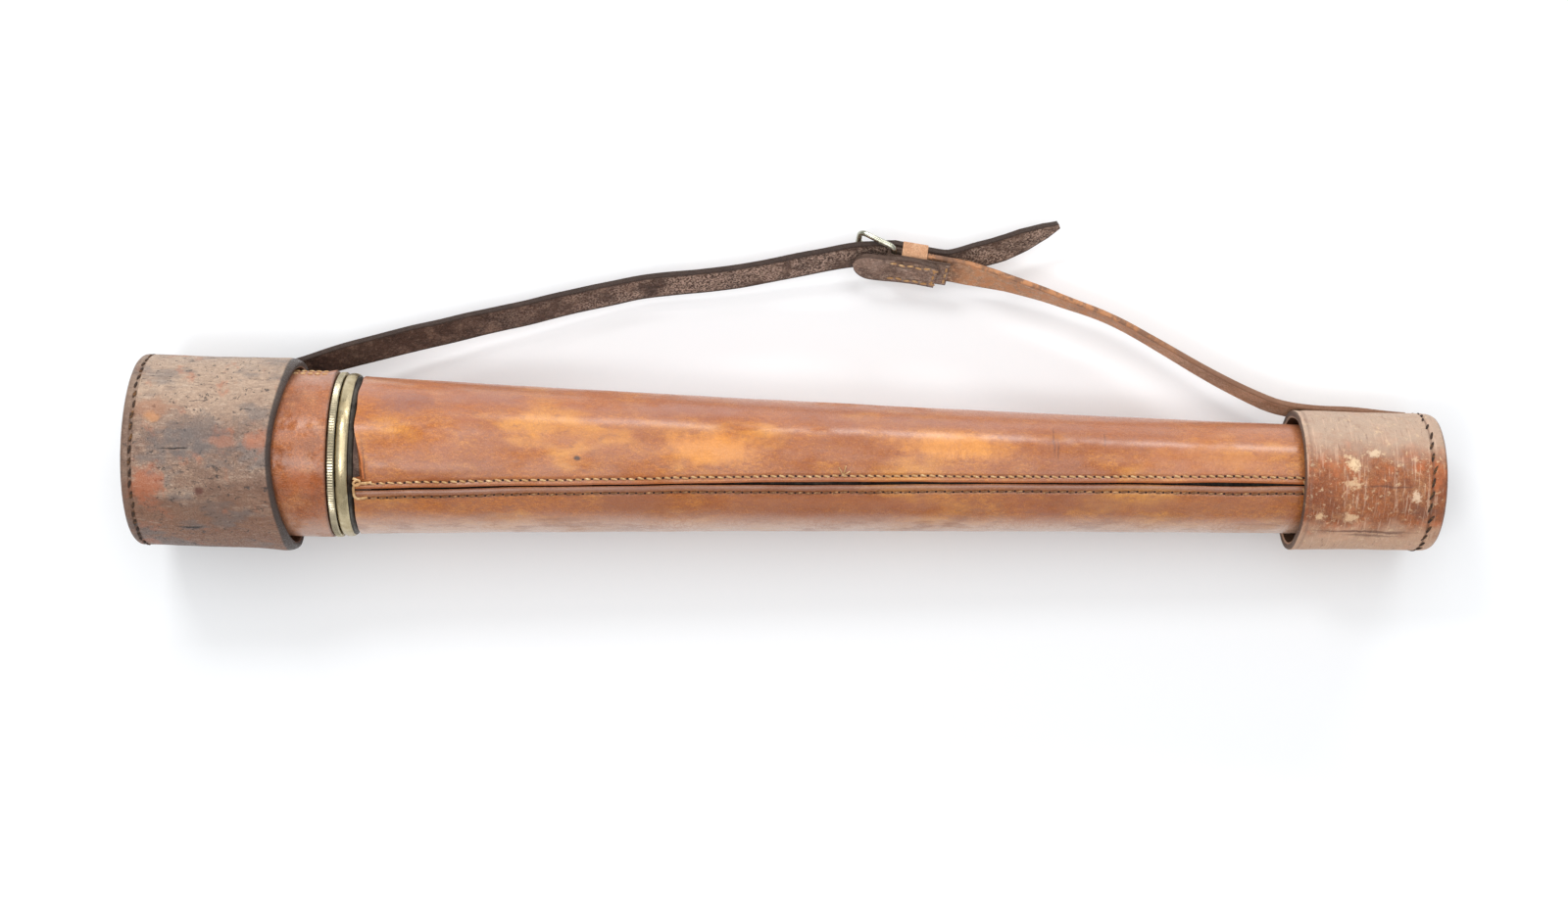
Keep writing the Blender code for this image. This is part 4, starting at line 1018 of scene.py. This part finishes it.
for centre, size, tone, share in (
        ((0.4990, 0.0070, 0.028), (0.0034, 0.0040, 0.01), srgb(230, 200, 160), 0.85),
        ((0.4995, -0.0015, 0.029), (0.0042, 0.0024, 0.01), srgb(226, 192, 152), 0.7),
        ((0.5080, 0.0115, 0.026), (0.0036, 0.0022, 0.01), srgb(232, 206, 172), 0.7),
        ((0.5260, -0.0060, 0.028), (0.0026, 0.0030, 0.01), srgb(230, 200, 170), 0.8),
        ((0.4870, -0.0150, 0.024), (0.0026, 0.0022, 0.01), srgb(230, 192, 150), 0.75),
        ((0.5000, -0.0155, 0.024), (0.0044, 0.0026, 0.01), srgb(228, 190, 150), 0.75)):
    f.spot(tone, centre, size, share, ragged=3.4, grit=620.0)
for centre, size, share in (((0.5140, -0.0020, 0.029), (0.0170, 0.0006, 0.01), 0.6),
                            ((0.5060, -0.0210, 0.019), (0.0290, 0.0008, 0.01), 0.75),
                            ((0.5100, -0.0225, 0.018), (0.0160, 0.0007, 0.01), 0.6)):
    f.spot(srgb(92, 58, 46), centre, size, share, ragged=0.9, grit=300.0)
by_mouth = f.coordinate("X")
f.tint(srgb(72, 52, 42), ranged(f.tree, f.attribute("rim"), 0.55, 0.95), 0.85)
f.tint(srgb(112, 80, 66), bump_mask(f.tree, by_mouth, CAP_MOUTH_SMALL + 0.0028, 0.0012), 0.35)
f.tint(srgb(92, 64, 50), bump_mask(f.tree, by_mouth, LENGTH - 0.0047, 0.0007), 0.6)
f.tint(srgb(96, 66, 52), ranged(f.tree, by_mouth, LENGTH + 0.0002, LENGTH + 0.0012), 0.6)
f.close(0.00013)

SMALL_END, SMALL_STITCH_IN = LENGTH + 0.0015, 0.0062
made = turned(cap_wall(SMALL_END, CAP_MOUTH_SMALL, CAP_RADIUS_SMALL, CAP_WALL_SMALL, 0.0012, 0.0011,
                       SMALL_STITCH_IN, 0.0045), 144)
line_with_flesh(made, CAP_RADIUS_SMALL - CAP_WALL_SMALL + 0.0004)
settle_cap(made, SMALL_END, CAP_MOUTH_SMALL, CAP_RADIUS_SMALL, CAP_WALL_SMALL, 0.0012,
           ((math.radians(-95), 0.7, 0.0013), (math.radians(60), 0.5, 0.0004)), (0.0002, 0.0002))
for line in (0.0022, 0.0032):
    ringed = [v for v in made.verts if math.hypot(v.co.y, v.co.z) > CAP_RADIUS_SMALL - 0.001]
    for v in ringed:
        move_out(v, -0.0003 * bump_at(v.co.x, CAP_MOUTH_SMALL + line, 0.0005))
place_piece("eyepiece_cap_wall_leather", made, "eyepiece_cap",
            [small_saddle.material, cap_flesh.material], ["eyepiece_cap_wall"])
made = turned(cap_disc(SMALL_END, -1.0, CAP_RADIUS_SMALL - CAP_WALL_SMALL - 0.0002), 96)
place_piece("eyepiece_cap_disc", made, "eyepiece_cap", [small_saddle.material],
            ["eyepiece_cap_end"])
made = bmesh.new()
ring_of_stitches(made, SMALL_END - SMALL_STITCH_IN, CAP_RADIUS_SMALL - 0.00005, 34, 0.0046, 0.0012,
                 0.0009, 0.50, 0.0006)
place_piece("eyepiece_cap_stitches", made, "eyepiece_cap", [dark_thread])

# ---- sling ------------------------------------------------------------------------------------
# Two narrow straps, one sewn to each cap, that meet at a wire buckle. The long one passes under
# the buckle's end bar and over its bar, and its pointed tongue goes on through the keeper.
STRAP_WIDTH, STRAP_THICK = 0.0150, 0.0024
ANGLE_BIG, ANGLE_MOUTH, ANGLE_SMALL = (math.radians(d) for d in (39, 31, 15))
BUCKLE_BAR = Vector((0.3110, 0.0882, -0.0180))
BUCKLE_PLACE = (Matrix.Translation(BUCKLE_BAR) @ Matrix.Rotation(math.radians(-8), 4, "Z")
                @ Matrix.Rotation(math.radians(-32), 4, "X"))
FOLD_RADIUS = 0.0022


def leaning(angle):
    """The way across a strap that leans out at its upper edge by the angle."""
    return Vector((0.0, math.sin(angle), math.cos(angle)))


def at_buckle(u, v):
    """A station of a strap given along (u) and outward (v) from the buckle's bar."""
    across = BUCKLE_PLACE.to_3x3() @ Vector((0.0, 0.0, 1.0))
    return BUCKLE_PLACE @ Vector((u, v, 0.0)), across, STRAP_WIDTH


def station(x, y, z, lean, width=STRAP_WIDTH):
    """A station of a strap in the open, leaning out by this many degrees."""
    return Vector((x, y, z)), leaning(math.radians(lean)), width


def sewn_to_cap(x, radius, angle, sunk=0.0):
    """A station where a strap lies on its cap, or is let into it where its end is skived."""
    reach = radius + STRAP_THICK / 2 - sunk
    place = Vector((x, reach * math.cos(angle), -reach * math.sin(angle)))
    return place, leaning(angle), STRAP_WIDTH


def smooth_through(stations, spacing):
    """Stations every spacing or so on a smooth curve through the given ones."""
    laid = []
    last = len(stations) - 1
    for i in range(last):
        around = [stations[max(i - 1, 0)], stations[i], stations[i + 1], stations[min(i + 2, last)]]
        span = (around[2][0] - around[1][0]).length
        gaps = [max((around[k + 1][0] - around[k][0]).length, 1e-6) for k in range(3)]
        slope_in = (around[2][0] - around[0][0]) * (span / (gaps[0] + gaps[1] if i else span))
        slope_out = (around[3][0] - around[1][0]) * (
            span / (gaps[1] + gaps[2] if i < last - 1 else span))
        count = max(1, round(span / spacing))
        for k in range(count):
            t = k / count
            place = ((2 * t ** 3 - 3 * t ** 2 + 1) * around[1][0] + (t ** 3 - 2 * t ** 2 + t) * slope_in
                     + (3 * t ** 2 - 2 * t ** 3) * around[2][0] + (t ** 3 - t ** 2) * slope_out)
            laid.append((place, around[1][1].lerp(around[2][1], t),
                         around[1][2] + (around[2][2] - around[1][2]) * t))
    laid.append(stations[last])
    return laid


def thicken(thing, thick, ease, segments):
    """Give a sheet of hide its thickness, and round its edges."""
    depth = thing.modifiers.new("hide_thickness", "SOLIDIFY")
    depth.thickness, depth.offset = thick, 0.0
    rounding = thing.modifiers.new("eased_edges", "BEVEL")
    rounding.width, rounding.segments = ease, segments
    rounding.limit_method, rounding.angle_limit = "ANGLE", math.radians(50)


def strap(name, route, spacing, thick, body, material, replaces, holes=(), wobble=0.00035):
    """A flat strip of hide laid along its route, with punched holes, thickened and rounded."""
    laid = smooth_through(route, spacing)
    steps = len(laid) - 1
    made = bmesh.new()
    bmesh.ops.create_grid(made, x_segments=steps, y_segments=8, size=0.5)
    along_layer = made.verts.layers.float.new("along")
    across_layer = made.verts.layers.float.new("across")
    for v in made.verts:
        i = round((v.co.x + 0.5) * steps)
        share = v.co.y * 2
        place, across, width = laid[i]
        ahead = (laid[min(i + 1, steps)][0] - laid[max(i - 1, 0)][0]).normalized()
        across = (across - ahead * across.dot(ahead)).normalized()
        out = ahead.cross(across)
        v[along_layer], v[across_layer] = i / steps, share
        edge = wobble * share * noise.noise(place * 70.0 + Vector((share, 0, 0)))
        cup = 0.00025 * share * share
        v.co = place + across * (share * width / 2 + edge) + out * (
            wobble * noise.noise(place * 55.0) - cup)
    for at, size in holes:
        nearest = min(made.verts, key=lambda v: (v.co - at).length)
        nearest.co = at
        bmesh.ops.bevel(made, geom=[nearest], offset=size, affect="VERTICES", segments=3,
                        profile=0.5, material=-1)
        made.faces.ensure_lookup_table()
        hole = min(made.faces, key=lambda f: (f.calc_center_median() - at).length)
        bmesh.ops.delete(made, geom=[hole], context="FACES_KEEP_BOUNDARY")
    bmesh.ops.recalc_face_normals(made, faces=made.faces)
    thing = place_piece(name, made, body, [material], replaces)
    thicken(thing, thick, 0.0006, 3)


def strap_leather(name, dark, mid, light, edge, patches, rough):
    """Strap leather: dry and crackled, with darker cut edges that were burnished."""
    made = hide(name, dark, mid, light, patches, 1500.0, rough, 0.35, Specular_IOR_Level=0.4)
    made.scatter(light, 0.5, 760.0, 0.54, 0.10, (0.6, 1.0, 0.8))
    crackle = made.use(wrinkles, "Line", Scale=430.0, Stretch=(0.8, 1.0, 1.2))
    made.tint(shade(dark, 0.6), crackle, 0.42)
    made.raise_by(crackle, -0.6)
    side = reckon(made.tree, "ABSOLUTE", made.attribute("across"))
    made.tint(edge, ranged(made.tree, side, 0.84, 0.98), 0.9)
    made.polish(ranged(made.tree, side, 0.84, 0.98), -0.12)
    return made


f = sling_dark = strap_leather("sling_leather", srgb(64, 44, 35), srgb(92, 67, 54),
                               srgb(150, 122, 104), srgb(56, 40, 32), 60.0, 0.55)
grey = f.use(marks, "Mask", Scale=1100.0, Threshold=0.44, Softness=0.14)
pale = reckon(f.tree, "MULTIPLY", ranged(f.tree, f.attribute("along"), 0.22, 0.55),
              f.use(marks, "Mask", Scale=70.0, Threshold=0.36, Softness=0.22))
grey = reckon(f.tree, "MULTIPLY", grey, pale)
inner = ranged(f.tree, reckon(f.tree, "ABSOLUTE", f.attribute("across")), 0.96, 0.74)
f.tint(srgb(206, 178, 160), reckon(f.tree, "MULTIPLY", grey, inner), 0.95)
f.close(0.00025)

long_route = [
    sewn_to_cap(0.031, CAP_RADIUS_BIG, ANGLE_BIG, 0.0016),
    sewn_to_cap(0.046, CAP_RADIUS_BIG, ANGLE_BIG, 0.0008),
    sewn_to_cap(0.060, CAP_RADIUS_BIG, ANGLE_MOUTH), station(0.0815, 0.0420, -0.0200, 35),
    station(0.1100, 0.0503, -0.0220, 36), station(0.1500, 0.0608, -0.0235, 33),
    station(0.2020, 0.0740, -0.0240, 30), station(0.2450, 0.0800, -0.0225, 29),
    station(0.2800, 0.0875, -0.0195, 29), at_buckle(-0.0154, 0.0003), at_buckle(-0.0070, 0.0026),
    at_buckle(0.0000, 0.0045), at_buckle(0.0060, 0.0040), at_buckle(0.0130, 0.0038),
    at_buckle(0.0240, 0.0046), station(0.3490, 0.0922, -0.0185, 36),
    station(0.3580, 0.0948, -0.0178, 37), station(0.3670, 0.0986, -0.0168, 35, 0.0135),
    station(0.3760, 0.1028, -0.0158, 33, 0.0090), station(0.3815, 0.1056, -0.0152, 32, 0.0030)]
punched = [(at_buckle(-0.0050, 0.0031)[0], 0.0012), (at_buckle(0.0112, 0.0038)[0], 0.0010),
           (at_buckle(0.0212, 0.0044)[0], 0.0010)]
strap("long_strap_leather", long_route, 0.0030, STRAP_THICK, "objective_cap", sling_dark.material,
      ["long_strap"], punched)

f = sling_tan = strap_leather("short_strap_leather", srgb(186, 142, 110), srgb(226, 178, 140),
                              srgb(236, 200, 170), srgb(132, 94, 72), 60.0, 0.52)
along = f.attribute("along")
worn = f.use(marks, "Mask", Scale=260.0, Threshold=0.40, Softness=0.2)
f.tint(srgb(214, 150, 102), reckon(f.tree, "MULTIPLY", ranged(f.tree, along, 0.36, 0.62), worn), 0.75)
grime = f.use(marks, "Mask", Scale=520.0, Threshold=0.44, Softness=0.1)
f.tint(srgb(92, 70, 58), reckon(f.tree, "MULTIPLY", ranged(f.tree, along, 0.86, 0.93), grime), 0.8)
f.close(0.0002)

f = safe_dark = strap_leather("safe_leather", srgb(120, 94, 79), srgb(188, 157, 139),
                              srgb(222, 196, 178), srgb(84, 62, 50), 75.0, 0.5)
f.ripple(srgb(60, 42, 36), 0.35, 760.0, 0.4, (0.8, 1.1, 1.1))
f.close(0.00025)

fold = [at_buckle(FOLD_RADIUS * math.cos(a), FOLD_RADIUS * math.sin(a))
        for a in (math.radians(d) for d in range(90, 271, 30))]
short_route = [
    sewn_to_cap(0.5280, CAP_RADIUS_SMALL, ANGLE_SMALL, 0.0026),
    sewn_to_cap(0.5050, CAP_RADIUS_SMALL, ANGLE_SMALL, 0.0010),
    sewn_to_cap(0.4830, CAP_RADIUS_SMALL, ANGLE_SMALL), station(0.4700, 0.0322, -0.0090, 14),
    station(0.4450, 0.0442, -0.0110, 9), station(0.4200, 0.0582, -0.0130, 5),
    station(0.4030, 0.0665, -0.0145, 5), station(0.3820, 0.0740, -0.0158, 9),
    station(0.3600, 0.0806, -0.0168, 18), at_buckle(0.0330, 0.0010), at_buckle(0.0160, 0.0011),
    at_buckle(0.0070, 0.0012)]
strap("short_strap_leather", short_route, 0.0030, STRAP_THICK * 0.95, "eyepiece_cap",
      sling_tan.material, ["short_strap"])
turn_back = [at_buckle(0.0080, 0.0016)] + fold
turn_back += [at_buckle(u, -0.0022) for u in (0.0060, 0.0150, 0.0245)]
strap("short_strap_fold", turn_back, 0.0008, 0.0011, "eyepiece_cap", safe_dark.material,
      [], wobble=0.0)

# The safe: a round-ended tab sewn under the buckle, and the keeper loop that holds the tongue.
SAFE_START, SAFE_END = -0.0162, 0.0195
SAFE_TAPER_FROM, SAFE_TAPER = 0.0080, 0.13
SAFE_UNDER = -0.0040            # how far under the bar it lies
half = STRAP_WIDTH / 2 + 0.0004
made = bmesh.new()
bmesh.ops.create_grid(made, x_segments=36, y_segments=12, size=0.5)
across_layer = made.verts.layers.float.new("across")
for v in made.verts:
    u = SAFE_START + (SAFE_END - SAFE_START) * (v.co.x + 0.5)
    share = v.co.y * 2
    inside = max(0.0, 1 - (u - SAFE_START) / half)
    width = half * math.sqrt(max(0.0, 1 - inside * inside)) if inside else half
    v[across_layer] = share
    late = max(0.0, u - SAFE_TAPER_FROM) / (SAFE_END - SAFE_TAPER_FROM)
    w = share * max(width, 0.0006) * (1 - SAFE_TAPER * late)
    sag = SAFE_UNDER + 0.0006 * math.sin(u * 180.0)
    v.co = BUCKLE_PLACE @ Vector((u, sag, w))
bmesh.ops.recalc_face_normals(made, faces=made.faces)
safe = place_piece("buckle_safe_leather", made, "eyepiece_cap", [safe_dark.material],
                   ["buckle_safe"])
thicken(safe, 0.0018, 0.0005, 3)

f = keeper_pale = hide("keeper_leather", srgb(196, 142, 104), srgb(222, 170, 130),
                       srgb(236, 194, 158), 120.0, 1400.0, 0.5, Specular_IOR_Level=0.45)
f.close(0.0002)
KEEPER_START, KEEPER_END = 0.0034, 0.0142
made = bmesh.new()
corners = [(-0.0009, -half + 0.0004), (0.0061, -half + 0.0004), (0.0061, half - 0.0004),
           (-0.0009, half - 0.0004)]
ring = [made.verts.new(BUCKLE_PLACE @ Vector((KEEPER_START, v, w))) for v, w in corners]
edges = [made.edges.new((a, b)) for a, b in zip(ring, ring[1:] + ring[:1])]
grown = bmesh.ops.extrude_edge_only(made, edges=edges)["geom"]
bmesh.ops.translate(made, verts=[g for g in grown if isinstance(g, bmesh.types.BMVert)],
                    vec=BUCKLE_PLACE.to_3x3() @ Vector((KEEPER_END - KEEPER_START, 0, 0)))
bmesh.ops.recalc_face_normals(made, faces=made.faces)
keeper = place_piece("keeper_loop_leather", made, "eyepiece_cap", [keeper_pale.material],
                     ["keeper_loop"])
bends = keeper.modifiers.new("bent_corners", "BEVEL")
bends.width, bends.segments = 0.0016, 4
bends.limit_method, bends.angle_limit = "ANGLE", math.radians(50)
thicken(keeper, 0.0011, 0.0003, 2)

# Cream stitches hold the fold, the safe and the keeper's ends together, and each strap to its cap.
SAFE_STITCH_PITCH, STRAP_STITCH_PITCH = 0.0036, 0.0032
made = bmesh.new()
along_u = BUCKLE_PLACE.to_3x3() @ Vector((1, 0, 0))
across_w = BUCKLE_PLACE.to_3x3() @ Vector((0, 0, 1))
outward = BUCKLE_PLACE.to_3x3() @ Vector((0, -1, 0))
for row in (-0.0050, 0.0050):
    for i in range(6):
        sway = (-1) ** i
        place = BUCKLE_PLACE @ Vector((0.0005 + i * SAFE_STITCH_PITCH, -0.0050, row * (1 + 0.05 * sway)))
        stitch(made, place, along_u + across_w * 0.2 * sway, outward, 0.0030, 0.0011, 0.0009)
for u, base in ((0.0182, -0.0050), (0.0232, -0.0030)):
    for i in range(3):
        place = BUCKLE_PLACE @ Vector((u, base, -0.0040 + i * 0.0040))
        stitch(made, place, across_w, outward, 0.0031, 0.0011, 0.0009)
place_piece("safe_stitches", made, "eyepiece_cap", [cream_thread])
for name, radius, angle, first, last, skived, body in (
        ("long_strap_stitches", CAP_RADIUS_BIG, ANGLE_BIG, 0.033, 0.052, 0.0, "objective_cap"),
        ("short_strap_stitches", CAP_RADIUS_SMALL, ANGLE_SMALL, 0.484, 0.524, 0.0014, "eyepiece_cap")):
    made = bmesh.new()
    out = Vector((0.0, math.cos(angle), -math.sin(angle)))
    for side in (-0.0055, 0.0055):
        steps = int((last - first) / STRAP_STITCH_PITCH)
        for i in range(steps + 1):
            over = radius + STRAP_THICK - (0.0012 + skived * i / steps)
            x = first + i * STRAP_STITCH_PITCH
            place = Vector((x, 0, 0)) + out * over + leaning(angle) * side
            stitch(made, place, Vector((1, 0, 0)), out, 0.0022, 0.0007, 0.0006)
    place_piece(name, made, body, [cream_thread])

# The buckle: a wire frame and its prong, both turning on the bar in the short strap's fold.
BUCKLE_LENGTH, BUCKLE_HALF, BUCKLE_WIRE = 0.0164, 0.0097, 0.0012
PRONG_WIRE, PRONG_LENGTH = 0.00075, 0.0178
tilted = BUCKLE_PLACE @ Matrix.Rotation(math.radians(-20), 4, "Z")


def bent_wire(name, points, radius, closed, body, node):
    """A piece of the buckle, bent from round wire and set at its tilt."""
    made = bent_round(name, points, radius, 5, "POLY", closed)
    bmesh.ops.transform(made, matrix=tilted, verts=made.verts)
    place_piece(name, made, body, [wire_metal], [node])


corner = 0.0026
loop = []
for u, w, first in ((-BUCKLE_LENGTH + corner, BUCKLE_HALF - corner, 90),
                    (-BUCKLE_LENGTH + corner, -BUCKLE_HALF + corner, 180),
                    (-corner, -BUCKLE_HALF + corner, 270), (-corner, BUCKLE_HALF - corner, 0)):
    for degrees in range(0, 91, 15):
        a = math.radians(first + degrees)
        loop.append((u + corner * math.cos(a), 0.0, w + corner * math.sin(a)))
bent_wire("buckle_frame_wire", loop, BUCKLE_WIRE, True, "buckle", "buckle_frame")
hug = BUCKLE_WIRE + PRONG_WIRE + 0.0001
lift = BUCKLE_WIRE + PRONG_WIRE + 0.0003
prong = [(-hug * math.cos(a), hug * math.sin(a), 0.0)
         for a in (math.radians(d) for d in range(360, 89, -15))]
prong += [(-PRONG_LENGTH * t, lift + 0.0001 * t - 0.0004 * math.sin(math.pi * t), 0.0)
          for t in (0.3, 0.5, 0.7, 0.85, 1.0)]
bent_wire("buckle_prong_wire", prong, PRONG_WIRE, False, "prong", "buckle_prong")
